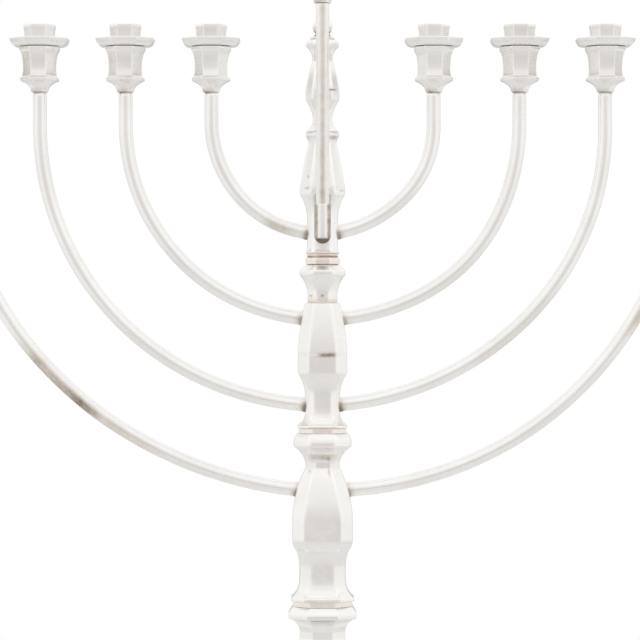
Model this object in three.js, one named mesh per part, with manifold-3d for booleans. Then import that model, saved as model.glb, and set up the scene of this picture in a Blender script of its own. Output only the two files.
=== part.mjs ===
// A nine-light candle stand: a stem of octagonal balusters on a hollow stepped foot, four pairs of
// round arms bent about one common centre, and a servant light that lifts out of a socket in front.
//
// Millimetres, +Z up. The origin is on the table, on the stem's axis, and the front faces -Y.
// An octagonal piece is described by outlines of (half width across the flats, height).

import * as THREE from 'three';
import { mergeVertices } from 'three/addons/utils/BufferGeometryUtils.js';
import Module from 'manifold-3d';

const wasm = await Module();
wasm.setup();

// ---- Driving dimensions --------------------------------------------------------------------------

const fitGap = 0.3; // clearance round a piece that is let into another
const seatGap = 0.15; // solder or seating line between two pieces that meet face to face

const arms = {
  pairs: 4,
  innerRadius: 52, // bend radius of the shortest pair
  pitch: 40, // from one candle to the next
  lowestHeight: 128, // where the longest pair leaves the stem
  diameter: 6.4,
  inset: 3.2, // how deep the inner end is let into the stem
  upright: 14, // straight length above the bend
};

const tenon = { radius: 2, length: 4.2 }; // turned end that holds a candle cup

const tieRod = { radius: 2, footEnd: 9, headEnd: 4.6 }; // lengths past the foot's deck and under the finial
const nut = { halfFlats: 3.6, height: 3.4 };
const washer = { radius: 9, thickness: 1.6 };

const foot = {
  halfFlats: 75,
  height: 46,
  wall: 1.8,
  deck: 3, // thickness of the top that carries the stem
  lift: 0.8, // rim stands clear of the table on the felt
  bandHeight: 6,
  coveFoot: { half: 69, height: 11 },
  coveHead: { half: 56, height: 20 },
  domeFoot: { half: 54.4, height: 22.6 },
  domeHead: { half: 36, height: 35.4 },
  riseFoot: { half: 34, height: 38 },
  top: 23.4,
};

const felt = { thickness: 1.6, margin: 1.8 };
const bottomPlate = { thickness: 1.5, margin: 0.6 };

// A baluster, from its skirt up: skirt, waist, belly, sloping shoulder, neck, cove, rim, top face.
// "rise" heights are from its bottom and "drop" heights are from its top. "underBelly" is how far the
// curve from the waist to the belly has swung out by its lower third.
const lowerBaluster = {
  skirt: 14.6, lip: 1.4, waist: 10.8, waistRise: 10, waistTopRise: 17,
  belly: 14, bellyRise: 28.5, bellyTopRise: 36.5, underBelly: 1.1, shoulder: 13.1, shoulderShare: 0.42,
  neck: 7.9, neckDrop: 16, neckTopDrop: 13.4, rim: 13.5, rimDrop: 6, rimTopDrop: 4, top: 11.7,
};
const middleBaluster = {
  skirt: 11.6, lip: 1, waist: 8, waistRise: 8.2, waistTopRise: 16,
  belly: 11.4, bellyRise: 27.5, bellyTopRise: 34.5, underBelly: 1.6, shoulder: 10.2, shoulderShare: 0.47,
  neck: 6.9, neckDrop: 17.8, neckTopDrop: 12.8, rim: 10.7, rimDrop: 5, rimTopDrop: 3.2, top: 7.2,
};
const upperBaluster = {
  height: 56.4,
  skirt: 7.8, lip: 0.6, waist: 7.1, waistRise: 3.6, waistTopRise: 17.5,
  belly: 10.5, bellyRise: 28.6, bellyTopRise: 30, underBelly: 1.6, shoulder: 8.6, shoulderShare: 0.5,
  neck: 6.5, neckDrop: 5.4, neckTopDrop: 4.4, rim: 7.7, rimDrop: 2, rimTopDrop: 1, top: 7.4,
};
const topKnop = {
  height: 43,
  skirt: 7.4, lip: 0.5, waist: 4.5, waistRise: 5.8, waistTopRise: 7.4,
  belly: 7.9, bellyRise: 16.6, bellyTopRise: 19, underBelly: 1.9, shoulder: 6.8, shoulderShare: 0.42,
  neck: 4.8, neckDrop: 10, neckTopDrop: 7.6, rim: 7.6, rimDrop: 3, rimTopDrop: 1.6, top: 6,
};

const ringDrop = 11.6; // a joint ring's centre is this far below the arm above it
const upperRing = { half: 7.9, height: 4.8, hollow: 0.5 };
const middleRing = { half: 11, height: 2.2, hollow: 0.3 };
const lowerRing = { half: 13.8, height: 2.4, hollow: 0.3 };

const baseNeck = {
  height: 28.6,
  ledge: 0.8, // the foot's top shows this much round the skirt
  lip: 1.6, neck: 10.6, neckRise: 14, neckDrop: 11.4,
  rim: 15.8, rimDrop: 5.4, rimTopDrop: 3.4, top: 13.8,
};

const finial = { height: 11.4, base: 5.6, waist: 3.2, waistRise: 3.2, knob: 4.6, knobRise: 7.2 };

// Walls of a cup are measured outwards from its bore, and the foot's from the tenon's bore.
const cup = {
  height: 21, footWall: 1.6, lowerRimWall: 2.3, lowerRimRise: 5.2, lowerRimBand: 1.4,
  waistWall: 0.9, waistRise: 10.6, rimWall: 2.7, rimBand: 1.4, boreDepth: 10,
};

// The pan and the collar are measured outwards from the nozzle's tube.
const nozzle = {
  candleRadius: 5, wall: 1.2, tubeLength: 9, floor: 2.4,
  panReach: 7.3, panRise: 3.6, panThickness: 1.1, panFloorReach: 4.2,
  collarFootWall: 1.2, collarWaistWall: 0.6, collarRimWall: 1.1, collarHeight: 10.4,
};

const servant = {
  rodRadius: 3, slipGap: 0.25, socketWall: 0.65, socketLength: 18.3,
  socketBelowArm: 5, // socket's round end under the innermost arms' height
  bellyGap: 1, // between the rod and the widest part of the stem behind it
  cupAboveFinial: 4,
};
const bracket = { width: 4.6, height: 7, rise: 6 };

const curveSteps = 3;
const roundSides = 12;
const armSides = 10;
const armSteps = 16;

// ---- Finishes ------------------------------------------------------------------------------------

const silver = { color: 0xdcd8d0, roughness: 0.18, metalness: 1 };
const warmSilver = { color: 0xb9967c, roughness: 0.3, metalness: 1 };
const steel = { color: 0x9a9a98, roughness: 0.4, metalness: 1 };
const feltCloth = { color: 0x1b2438, roughness: 0.95, metalness: 0 };

// ---- Sizes that follow from the driving dimensions -------------------------------------------------

const armRadius = (pair) => arms.innerRadius + (pair - 1) * arms.pitch;
const armCentreHeight = arms.lowestHeight + armRadius(arms.pairs);
const armHeight = (pair) => armCentreHeight - armRadius(pair);
const boreRadius = tieRod.radius + fitGap;

const baseNeckBottom = foot.height + seatGap;
const lowerRingBottom = baseNeckBottom + baseNeck.height + seatGap;
const lowerBalusterBottom = lowerRingBottom + lowerRing.height + seatGap;
const middleRingBottom = armHeight(3) - ringDrop - middleRing.height / 2;
const middleBalusterBottom = middleRingBottom + middleRing.height + seatGap;
const upperRingBottom = armHeight(1) - ringDrop - upperRing.height / 2;
const upperBalusterBottom = upperRingBottom + upperRing.height + seatGap;
const topKnopBottom = upperBalusterBottom + upperBaluster.height + seatGap;
const finialBottom = topKnopBottom + topKnop.height + seatGap;

const lowerBalusterHeight = middleRingBottom - seatGap - lowerBalusterBottom;
const middleBalusterHeight = upperRingBottom - seatGap - middleBalusterBottom;

const tubeRadius = nozzle.candleRadius + nozzle.wall;
const cupBoreRadius = tubeRadius + fitGap;
const tenonBoreRadius = tenon.radius + fitGap;

const servantSocketRadius = servant.rodRadius + servant.slipGap + servant.socketWall;
const servantForward = upperBaluster.belly + servant.bellyGap + servant.rodRadius;
const servantSocketBottom = armHeight(1) - servant.socketBelowArm;
const servantCupBottom = finialBottom + finial.height + servant.cupAboveFinial;

// ---- Geometry helpers ----------------------------------------------------------------------------

// Points along an outline. A step of two numbers is a straight line to (half, height); a step of four
// is a curve that bends towards its first pair and ends at its second.
function outline(...steps) {
  const path = new THREE.Path();
  path.moveTo(...steps[0]);
  for (const step of steps.slice(1)) {
    if (step.length === 2) {
      path.lineTo(...step);
    } else {
      path.quadraticCurveTo(...step);
    }
  }
  return path.getPoints(curveSteps);
}

// Outline of a plain straight piece.
function rodOutline(half, bottom, top) {
  return outline([0, bottom], [half, bottom], [half, top], [0, top]);
}

// A closed solid from a three.js geometry, for joining and cutting.
function solidFrom(geometry) {
  const bare = geometry.clone();
  bare.deleteAttribute('normal');
  bare.deleteAttribute('uv');
  const merged = mergeVertices(bare);
  const corners = merged.getIndex().array;
  const triangles = [];
  for (let i = 0; i < corners.length; i += 3) {
    const [a, b, c] = [corners[i], corners[i + 1], corners[i + 2]];
    if (a !== b && b !== c && c !== a) {
      triangles.push(a, b, c);
    }
  }
  const mesh = new wasm.Mesh({
    numProp: 3,
    vertProperties: new Float32Array(merged.getAttribute('position').array),
    triVerts: new Uint32Array(triangles),
  });
  return new wasm.Manifold(mesh);
}

function geometryFrom(solid) {
  const mesh = solid.getMesh();
  const geometry = new THREE.BufferGeometry();
  geometry.setAttribute('position', new THREE.BufferAttribute(mesh.vertProperties, 3));
  geometry.setIndex(new THREE.BufferAttribute(mesh.triVerts, 1));
  geometry.computeVertexNormals();
  return geometry;
}

// A solid turned about +Z from points that start and end on the axis, with flats facing X and Y.
function turned(points, sides, radiusScale) {
  const corners = points.map((point) => new THREE.Vector2(point.x * radiusScale, point.y));
  const geometry = new THREE.LatheGeometry(corners, sides, Math.PI / sides);
  return geometry.rotateX(Math.PI / 2);
}

function octagonal(points) {
  return solidFrom(turned(points, 8, 1 / Math.cos(Math.PI / 8)));
}

function shaft(points) {
  return solidFrom(turned(points, roundSides, 1));
}

// A round cutter whose flats, not its corners, lie at the stated radius.
function cutter(radius, bottom, top, at = [0, 0]) {
  const points = rodOutline(radius, bottom, top);
  const geometry = turned(points, roundSides, 1 / Math.cos(Math.PI / roundSides));
  return solidFrom(geometry.translate(at[0], at[1], 0));
}

function addPiece(parent, name, solid, finish) {
  const material = new THREE.MeshStandardMaterial({ ...finish, flatShading: true });
  const mesh = new THREE.Mesh(geometryFrom(solid), material);
  mesh.name = name;
  parent.add(mesh);
  return mesh;
}

// ---- Foot ----------------------------------------------------------------------------------------

// The foot's outer form. The same form moved in and down by the wall makes its hollow.
function footForm(inward, bottom, top) {
  const at = (point) => [point.half - inward, point.height - inward];
  const band = [foot.halfFlats - inward, foot.bandHeight - inward];
  const cove = { half: foot.coveHead.half + 2, height: foot.coveFoot.height + 1 };
  const dome = { half: foot.domeFoot.half - 1, height: foot.domeHead.height - 1 };
  const rise = { half: foot.top + 1, height: foot.riseFoot.height + 1 };
  const ovolo = { half: foot.coveFoot.half + 5, height: foot.coveFoot.height - 2 };
  const ledge = { half: foot.coveFoot.half, height: foot.coveFoot.height - 2 };
  const ledgeEdge = { half: foot.coveFoot.half + 1.5, height: foot.coveFoot.height - 2 };
  return octagonal(outline(
    [0, bottom],
    [band[0], bottom],
    band,
    [...at(ovolo), ...at(ledgeEdge)],
    at(ledge),
    at(foot.coveFoot),
    [...at(cove), ...at(foot.coveHead)],
    at({ half: foot.domeFoot.half, height: foot.coveHead.height }),
    at(foot.domeFoot),
    [...at(dome), ...at(foot.domeHead)],
    at({ half: foot.riseFoot.half, height: foot.domeHead.height }),
    at(foot.riseFoot),
    [...at(rise), foot.top - inward, top],
    [0, top],
  ));
}

function footShell() {
  const outer = footForm(0, foot.lift, foot.height);
  const hollow = footForm(foot.wall, -foot.wall, foot.height - foot.deck);
  const bore = cutter(boreRadius, 0, foot.height + 1);
  return outer.subtract(hollow).subtract(bore);
}

function addFoot(stand) {
  addPiece(stand, 'base_shell', footShell(), silver);

  const plateHalf = foot.halfFlats - foot.wall - bottomPlate.margin;
  const plateBottom = felt.thickness + seatGap;
  const plate = octagonal(rodOutline(plateHalf, 0, bottomPlate.thickness));
  addPiece(stand, 'bottom_plate', plate, silver).position.z = plateBottom;

  const feltHalf = foot.halfFlats - foot.wall - felt.margin;
  const pad = octagonal(rodOutline(feltHalf, 0, felt.thickness));
  addPiece(stand, 'felt_pad', pad, feltCloth);

  const n = baseNeck;
  const skirt = foot.top - n.ledge;
  const neck = octagonal(outline(
    [0, 0],
    [skirt, 0],
    [skirt, n.lip],
    [n.neck + 1, n.lip + 3, n.neck, n.neckRise],
    [n.neck, n.height - n.neckDrop],
    [n.neck + 0.6, n.height - n.rimDrop - 1.4, n.rim, n.height - n.rimDrop],
    [n.rim, n.height - n.rimTopDrop],
    [n.top, n.height],
    [0, n.height],
  ));
  const bored = neck.subtract(cutter(boreRadius, -1, n.height + 1));
  addPiece(stand, 'base_neck', bored, silver).position.z = baseNeckBottom;
}

// ---- Stem ----------------------------------------------------------------------------------------

function balusterOutline(b, height) {
  const slopeFoot = b.bellyTopRise;
  const slopeHead = height - b.neckDrop;
  const shoulderHeight = slopeFoot + b.shoulderShare * (slopeHead - slopeFoot);
  return outline(
    [0, 0],
    [b.skirt, 0],
    [b.skirt, b.lip],
    [b.waist, b.lip + 1, b.waist, b.waistRise],
    [b.waist, b.waistTopRise],
    [b.waist + b.underBelly, b.waistTopRise + 3, b.belly, b.bellyRise],
    [b.belly, b.bellyTopRise],
    [b.shoulder, shoulderHeight],
    [b.neck, slopeHead],
    [b.neck, height - b.neckTopDrop],
    [b.neck + 0.6, height - b.rimDrop - 1, b.rim, height - b.rimDrop],
    [b.rim, height - b.rimTopDrop],
    [b.top, height],
    [0, height],
  );
}

// Half width of an outline at a height.
function halfAt(points, height) {
  for (let i = 1; i < points.length; i += 1) {
    const [low, high] = [points[i - 1], points[i]];
    if (low.y <= height && height <= high.y && high.y > low.y) {
      return low.x + (high.x - low.x) * (height - low.y) / (high.y - low.y);
    }
  }
  return 0;
}

function joinRing(ring) {
  const points = outline(
    [0, 0],
    [ring.half, 0],
    [ring.half - 2 * ring.hollow, ring.height / 2, ring.half, ring.height],
    [0, ring.height],
  );
  return octagonal(points).subtract(cutter(boreRadius, -1, ring.height + 1));
}

// One baluster, bored for the tie rod and drilled for the pairs of arms that join it.
function addBaluster(stand, name, sizes, bottom, height, pairs) {
  const points = balusterOutline(sizes, height);
  let solid = octagonal(points).subtract(cutter(boreRadius, -1, height + 1));
  for (const pair of pairs) {
    const innerEnd = halfAt(points, armHeight(pair) - bottom) - arms.inset;
    for (const side of armSidesOfStem) {
      const hole = armTube(pair, innerEnd - fitGap, arms.diameter / 2 + fitGap);
      hole.rotateZ(side.turn).translate(0, 0, armCentreHeight - bottom);
      solid = solid.subtract(solidFrom(hole));
      addArm(stand, side, pair, innerEnd);
    }
  }
  addPiece(stand, name, solid, silver).position.z = bottom;
}

function addFinial(stand) {
  const f = finial;
  const solid = octagonal(outline(
    [0, 0],
    [f.base, 0],
    [f.base, 0.8],
    [f.waist, 1.2, f.waist, f.waistRise],
    [f.knob, f.waistRise, f.knob, f.knobRise],
    [f.knob - 0.4, f.height - 1, 0, f.height],
  ));
  const bore = cutter(boreRadius, -1, tieRod.headEnd + fitGap);
  addPiece(stand, 'finial', solid.subtract(bore), silver).position.z = finialBottom;
}

function addTieRod(stand) {
  const deckUnderside = foot.height - foot.deck;
  const washerBottom = deckUnderside - seatGap - washer.thickness;
  const nutBottom = washerBottom - seatGap - nut.height;
  const rodBottom = deckUnderside - tieRod.footEnd;
  const rodTop = finialBottom + tieRod.headEnd;

  const rod = shaft(rodOutline(tieRod.radius, 0, rodTop - rodBottom));
  addPiece(stand, 'tie_rod', rod, steel).position.z = rodBottom;

  const disc = shaft(rodOutline(washer.radius, 0, washer.thickness));
  const washerSolid = disc.subtract(cutter(boreRadius, -1, washer.thickness + 1));
  addPiece(stand, 'tie_rod_washer', washerSolid, steel).position.z = washerBottom;

  const nutPoints = rodOutline(nut.halfFlats, 0, nut.height);
  const hexagon = solidFrom(turned(nutPoints, 6, 1 / Math.cos(Math.PI / 6)));
  const nutSolid = hexagon.subtract(cutter(boreRadius, -1, nut.height + 1));
  addPiece(stand, 'tie_rod_nut', nutSolid, steel).position.z = nutBottom;
}

// ---- Arms ----------------------------------------------------------------------------------------

const armSidesOfStem = [
  { name: 'right', turn: 0 },
  { name: 'left', turn: Math.PI },
];

// A quarter circle about the common centre, then straight up.
class ArmPath extends THREE.Curve {
  constructor(radius, innerEnd, upright) {
    super();
    this.radius = radius;
    this.startAngle = Math.asin(innerEnd / radius);
    this.arcLength = radius * (Math.PI / 2 - this.startAngle);
    this.totalLength = this.arcLength + upright;
  }

  getPoint(t, target = new THREE.Vector3()) {
    const along = t * this.totalLength;
    if (along > this.arcLength) {
      return target.set(this.radius, 0, along - this.arcLength);
    }
    const angle = this.startAngle + along / this.radius;
    return target.set(this.radius * Math.sin(angle), 0, -this.radius * Math.cos(angle));
  }
}

function armTube(pair, innerEnd, tubeRadius) {
  const section = new THREE.Shape();
  section.absarc(0, 0, tubeRadius, 0, 2 * Math.PI);
  const extrudePath = new ArmPath(armRadius(pair), innerEnd, arms.upright);
  const options = { steps: armSteps, curveSegments: armSides / 2, bevelEnabled: false, extrudePath };
  return new THREE.ExtrudeGeometry(section, options);
}

function addArm(stand, side, pair, innerEnd) {
  const tube = solidFrom(armTube(pair, innerEnd, arms.diameter / 2));
  const points = rodOutline(tenon.radius, arms.upright - 1, arms.upright + tenon.length);
  const end = turned(points, roundSides, 1).translate(armRadius(pair), 0, 0);

  const group = new THREE.Group();
  group.position.z = armCentreHeight;
  group.rotation.z = side.turn;
  stand.add(group);
  addPiece(group, `arm_${side.name}_${pair}`, tube.add(solidFrom(end)), silver);
  addLight(group, `${side.name}_${pair}`, [armRadius(pair), 0, arms.upright + seatGap]);
}

// ---- Candle cups and nozzles ---------------------------------------------------------------------

function candleCup() {
  const c = cup;
  const footHalf = tenonBoreRadius + c.footWall;
  const lowerRim = cupBoreRadius + c.lowerRimWall;
  const lowerRimTop = c.lowerRimRise + c.lowerRimBand;
  const waist = cupBoreRadius + c.waistWall;
  const rim = cupBoreRadius + c.rimWall;
  const rimBottom = c.height - c.rimBand;
  const solid = octagonal(outline(
    [0, 0],
    [footHalf, 0],
    [footHalf + 0.6, c.lowerRimRise - 1.6, lowerRim, c.lowerRimRise],
    [lowerRim, lowerRimTop],
    [waist, lowerRimTop + 1, waist, c.waistRise],
    [waist + 0.2, rimBottom - 2, rim, rimBottom],
    [rim, c.height],
    [0, c.height],
  ));
  const tubeBore = cutter(cupBoreRadius, c.height - c.boreDepth, c.height + 1);
  const tenonBore = cutter(tenonBoreRadius, -1, tenon.length + fitGap);
  return solid.subtract(tubeBore).subtract(tenonBore);
}

function candleNozzle() {
  const n = nozzle;
  const dishFloor = seatGap + n.panThickness;
  const panRim = tubeRadius + n.panReach;
  const panFloor = tubeRadius + n.panFloorReach;
  const collarFoot = tubeRadius + n.collarFootWall;
  const collarWaist = tubeRadius + n.collarWaistWall;
  const collarRim = tubeRadius + n.collarRimWall;
  const pan = octagonal(outline(
    [0, seatGap],
    [panFloor, seatGap],
    [panRim - 1, seatGap + 0.4, panRim, n.panRise],
    [panRim - n.panThickness, n.panRise + 0.3],
    [panRim - n.panThickness - 1, dishFloor + 0.4, panFloor - 0.6, dishFloor],
    [collarFoot, dishFloor],
    [collarWaist, dishFloor + 1, collarWaist, dishFloor + 3],
    [collarWaist, n.collarHeight - 3, collarRim, n.collarHeight - 1.2],
    [collarRim, n.collarHeight],
    [0, n.collarHeight],
  ));
  const tube = shaft(rodOutline(tubeRadius, -n.tubeLength, dishFloor));
  const candleBore = cutter(n.candleRadius, n.floor - n.tubeLength, n.collarHeight + 1);
  return pan.add(tube).subtract(candleBore);
}

// A cup on its tenon with its lift-off nozzle. "at" is the cup's underside.
function addLight(group, suffix, at) {
  addPiece(group, `cup_${suffix}`, candleCup(), silver).position.set(...at);
  const seat = [at[0], at[1], at[2] + cup.height];
  addPiece(group, `nozzle_${suffix}`, candleNozzle(), silver).position.set(...seat);
}

// ---- Servant light -------------------------------------------------------------------------------

// Outline of a shaft with a half-round lower end.
function roundEnded(radius, bottom, top) {
  const path = new THREE.Path();
  path.absarc(0, bottom + radius, radius, -Math.PI / 2, 0);
  path.lineTo(radius, top);
  path.lineTo(0, top);
  return path.getPoints(curveSteps);
}

function addServantSocket(group) {
  const s = servant;
  const outer = shaft(roundEnded(servantSocketRadius, 0, s.socketLength));
  const bore = shaft(roundEnded(s.rodRadius + s.slipGap, s.socketWall, s.socketLength + 1));
  addPiece(group, 'servant_socket', outer.subtract(bore), silver);

  const depth = servantForward - upperBaluster.waist - seatGap;
  const block = new THREE.BoxGeometry(bracket.width, depth, bracket.height);
  block.translate(0, depth / 2, bracket.rise + bracket.height / 2);
  const saddle = cutter(servantSocketRadius + seatGap, 0, s.socketLength);
  addPiece(group, 'servant_bracket', solidFrom(block).subtract(saddle), silver);
}

function addServantRod(group) {
  const s = servant;
  const bottom = s.socketWall + fitGap;
  const top = servantCupBottom - servantSocketBottom - seatGap;
  const rod = shaft(roundEnded(s.rodRadius, bottom, top));
  const end = shaft(rodOutline(tenon.radius, top - 1, top + tenon.length));
  addPiece(group, 'servant_rod', rod.add(end), silver);
  addLight(group, 'servant', [0, 0, top + seatGap]);
}

// ---- Assembly ------------------------------------------------------------------------------------

const stand = new THREE.Group();
addFoot(stand);
addTieRod(stand);
addPiece(stand, 'lower_ring', joinRing(lowerRing), warmSilver).position.z = lowerRingBottom;
addBaluster(stand, 'lower_baluster', lowerBaluster, lowerBalusterBottom, lowerBalusterHeight, [4]);
addPiece(stand, 'middle_ring', joinRing(middleRing), warmSilver).position.z = middleRingBottom;
addBaluster(stand, 'middle_baluster', middleBaluster, middleBalusterBottom, middleBalusterHeight, [3, 2]);
addPiece(stand, 'upper_ring', joinRing(upperRing), warmSilver).position.z = upperRingBottom;
addBaluster(stand, 'upper_baluster', upperBaluster, upperBalusterBottom, upperBaluster.height, [1]);
addBaluster(stand, 'top_knop', topKnop, topKnopBottom, topKnop.height, []);
addFinial(stand);

const servantLight = new THREE.Group();
servantLight.position.set(0, -servantForward, servantSocketBottom);
stand.add(servantLight);
addServantSocket(servantLight);
addServantRod(servantLight);

export default stand;
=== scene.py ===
"""A nine-light candle stand in hand-polished silver plate, dressed over its working frame.

The stem is a stack of octagonal balusters on a hollow stepped foot. Four pairs of round arms are bent
about one centre and carry octagonal cups with lift-off nozzles, and a servant light on a long rod stands
in a round-bottomed socket in front of the stem.

Sizes are in millimetres until a mesh is made, and the front faces -Y.
"""

import logging
import math
from collections.abc import Callable
from dataclasses import dataclass
from enum import Enum
from functools import partial

import bmesh
import bpy
import numpy as np
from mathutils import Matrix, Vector, noise


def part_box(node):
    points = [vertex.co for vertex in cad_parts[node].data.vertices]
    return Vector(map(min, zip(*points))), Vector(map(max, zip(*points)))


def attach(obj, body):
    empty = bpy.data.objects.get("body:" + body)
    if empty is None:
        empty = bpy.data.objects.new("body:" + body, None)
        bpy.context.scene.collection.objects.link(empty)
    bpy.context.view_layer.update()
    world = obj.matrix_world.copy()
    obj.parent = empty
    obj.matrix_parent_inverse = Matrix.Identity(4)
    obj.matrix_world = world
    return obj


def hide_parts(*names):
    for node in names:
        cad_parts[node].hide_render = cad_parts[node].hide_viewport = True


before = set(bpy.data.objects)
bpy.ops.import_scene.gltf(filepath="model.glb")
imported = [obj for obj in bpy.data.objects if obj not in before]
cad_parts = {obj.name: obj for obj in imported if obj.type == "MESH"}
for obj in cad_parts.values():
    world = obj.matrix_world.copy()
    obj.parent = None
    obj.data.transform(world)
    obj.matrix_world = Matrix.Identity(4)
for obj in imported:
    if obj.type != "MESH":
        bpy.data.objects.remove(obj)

LOG = logging.getLogger("candle_stand")

MM = 0.001
REGULAR = math.sqrt(2) - 1  # front flat of a regular octagon as a share of its whole width
SLIM = 0.45  # the same share on the stand's slimmer octagons
TIE_BORE = 2.3  # radius of the bore that the stem's tie rod passes through
AXIS = 1e-6  # a half width below this lies on the axis
Socket = bpy.types.NodeSocket
Colour = tuple[float, float, float]


class Body(str, Enum):
    """The rigid bodies that pieces ride on."""

    STAND = "stand"
    SERVANT = "servant_light"
    SERVANT_NOZZLE = "servant_nozzle"


class Slot(str, Enum):
    """The record's material slots."""

    SILVER = "silver"
    NOZZLE = "nozzle_silver"
    RING = "joint_ring"
    PLATE = "plate_silver"
    STEEL = "steel"
    FELT = "felt"


class Side(Enum):
    """The two sides of the stem, with the direction of each along X."""

    LEFT = -1
    RIGHT = 1

    @property
    def word(self) -> str:
        """The side's name as it is used in node names."""
        return self.name.lower()


# ---- Where the working frame puts things ------------------------------------------------------------


def low_corner(node: str) -> Vector:
    """Lowest corner of a frame node, in millimetres."""
    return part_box(node)[0] / MM


def high_corner(node: str) -> Vector:
    """Highest corner of a frame node, in millimetres."""
    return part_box(node)[1] / MM


def tall(node: str) -> float:
    """Height of a frame node, in millimetres."""
    return high_corner(node).z - low_corner(node).z


def foot_point(node: str) -> Vector:
    """Centre of a frame node's box, at its lowest height, in millimetres."""
    middle = (low_corner(node) + high_corner(node)) / 2
    return Vector((middle.x, middle.y, low_corner(node).z))


def fade(distance: np.ndarray, spread: float) -> np.ndarray:
    """A bell curve: 1 at no distance, and nearly 0 at twice the spread."""
    return np.exp(-((distance / spread) ** 2))


# ---- Outlines of turned pieces ----------------------------------------------------------------------


@dataclass(frozen=True)
class Level:
    """One point of an outline.

    half is the half width across the flats, or the radius where the piece is round. share is the
    width of the front flat as a share of the whole width, and roundness goes from 0, an octagon,
    to 1, a circle.
    """

    half: float
    height: float
    share: float = REGULAR
    roundness: float = 0.0

    def row(self) -> np.ndarray:
        """The level as the numbers that a leg blends between."""
        return np.array([self.half, self.height, self.share, self.roundness], float)


class Outline:
    """The half section of a turned piece, drawn leg by leg.

    Legs run anticlockwise round the solid: out along its underside, up its outside, in over its top
    and, on a bored piece, down its bore and back to the start.
    """

    LONGEST_STEP = 2.2
    SUPPORT = 0.3
    CORNER_STEPS = (0.2, 0.4, 0.6, 0.8)
    MOST_TRIMMED = 0.35
    SAME_POINT = 1e-4

    def __init__(self, start: Level) -> None:
        """Starts an outline at a level.

        Args:
            start: where the first leg starts.
        """
        self._legs: list[np.ndarray] = []
        self._edges: list[float] = []
        self._end = start.row()

    def line(self, to: Level, edge: float = 0.2) -> "Outline":
        """Adds a straight leg.

        Args:
            to: where the leg ends.
            edge: how much of the leg's end is taken by the soft corner there.

        Returns:
            The outline itself.
        """
        span = to.row() - self._end
        length = max(math.hypot(span[0], span[1]), AXIS)
        marks = list(np.linspace(0, 1, max(1, math.ceil(length / self.LONGEST_STEP)) + 1))
        if length > 4 * self.SUPPORT:
            near = (edge + self.SUPPORT) / length
            marks += [near, 1 - near]
        steps = np.unique(np.clip(marks, 0, 1))[:, None]
        return self._add(self._end + steps * span, edge)

    def curve(self, via: tuple[float, float], to: Level, edge: float = 0.2, steps: int = 12) -> "Outline":
        """Adds a leg that bends towards a point.

        Args:
            via: half width and height of the point that the leg bends towards.
            to: where the leg ends.
            edge: as for a straight leg.
            steps: how many pieces the bend is made of.

        Returns:
            The outline itself.
        """
        start, end = self._end, to.row()
        middle = (start + end) / 2
        middle[:2] = via
        t = np.linspace(0, 1, steps + 1)[:, None]
        return self._add((1 - t) ** 2 * start + 2 * t * (1 - t) * middle + t**2 * end, edge)

    def arc(self, centre: tuple[float, float], to: Level, edge: float = 0.0, steps: int = 12) -> "Outline":
        """Adds part of a circle or ellipse, turning anticlockwise round its centre.

        Args:
            centre: half width and height of the centre.
            to: where the leg ends.
            edge: as for a straight leg.
            steps: how many pieces the arc is made of.

        Returns:
            The outline itself.
        """
        start, end = self._end, to.row()
        first = start[:2] - centre
        last = end[:2] - centre
        t = np.linspace(0, math.pi / 2, steps + 1)[:, None]
        rows = start + (end - start) * t / (math.pi / 2)
        rows[:, :2] = centre + np.cos(t) * first + np.sin(t) * last
        return self._add(rows, edge)

    def run(
        self, *legs: tuple[float, ...], share: float = REGULAR, roundness: float = 0.0, inward: float = 0.0
    ) -> "Outline":
        """Adds straight and bent legs that keep one share and roundness.

        Args:
            legs: half width, height and edge of each leg's end. A bent leg adds the half width and
                height of the point that it bends towards, and how many pieces it is made of.
            share: width of the front flat as a share of the whole width.
            roundness: from 0, an octagon, to 1, a circle.
            inward: how far the legs are moved in and down, for the hollow of a shell.

        Returns:
            The outline itself.
        """
        for half, height, edge, *bend in legs:
            to = Level(half - inward, height - inward, share, roundness)
            if bend:
                self.curve((bend[0] - inward, bend[1] - inward), to, edge, int(bend[2]))
            else:
                self.line(to, edge)
        return self

    def retrace(self, other: "Outline", edge: float = 0.3) -> "Outline":
        """Adds a straight leg to the end of another outline, then that outline's legs in reverse.

        Args:
            other: the outline to go back along.
            edge: softness of the corners at its two ends.

        Returns:
            The outline itself.
        """
        self.line(Level(*other._end), edge)
        for leg, softness in zip(reversed(other._legs), [*reversed(other._edges[:-1]), edge]):
            self._add(leg[::-1].copy(), softness)
        return self

    def _add(self, leg: np.ndarray, edge: float) -> "Outline":
        """Keeps a leg and the softness of the corner at its end.

        Args:
            leg: the rows of the leg.
            edge: how much of its end is taken by the soft corner there.

        Returns:
            The outline itself.
        """
        self._legs.append(leg)
        self._edges.append(edge)
        self._end = leg[-1]
        return self

    def rows(self, closed: bool) -> np.ndarray:
        """The whole outline with its corners softened.

        Args:
            closed: whether the last leg ends where the first one starts.

        Returns:
            One row of half width, height, share and roundness for each point.
        """
        count = len(self._legs)
        ends = self._edges[-1] if closed else 0.0
        softness = [ends, *self._edges[:-1], ends]
        trimmed = [self._trim(leg, softness[i], softness[i + 1]) for i, leg in enumerate(self._legs)]
        parts: list[np.ndarray] = []
        for i, leg in enumerate(trimmed):
            parts.append(leg)
            follows = (i + 1) % count
            if softness[i + 1] > 0 and (closed or i + 1 < count):
                corner = self._legs[i][-1]
                for t in self.CORNER_STEPS:
                    bend = (1 - t) ** 2 * leg[-1] + 2 * t * (1 - t) * corner + t**2 * trimmed[follows][0]
                    parts.append(bend[None])
        rows = np.concatenate(parts)
        gaps = np.hypot(*np.diff(rows[:, :2], axis=0).T)
        rows = rows[np.concatenate([[True], gaps > self.SAME_POINT])]
        if closed and np.hypot(*(rows[0, :2] - rows[-1, :2])) < self.SAME_POINT:
            rows = rows[:-1]
        return rows

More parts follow.
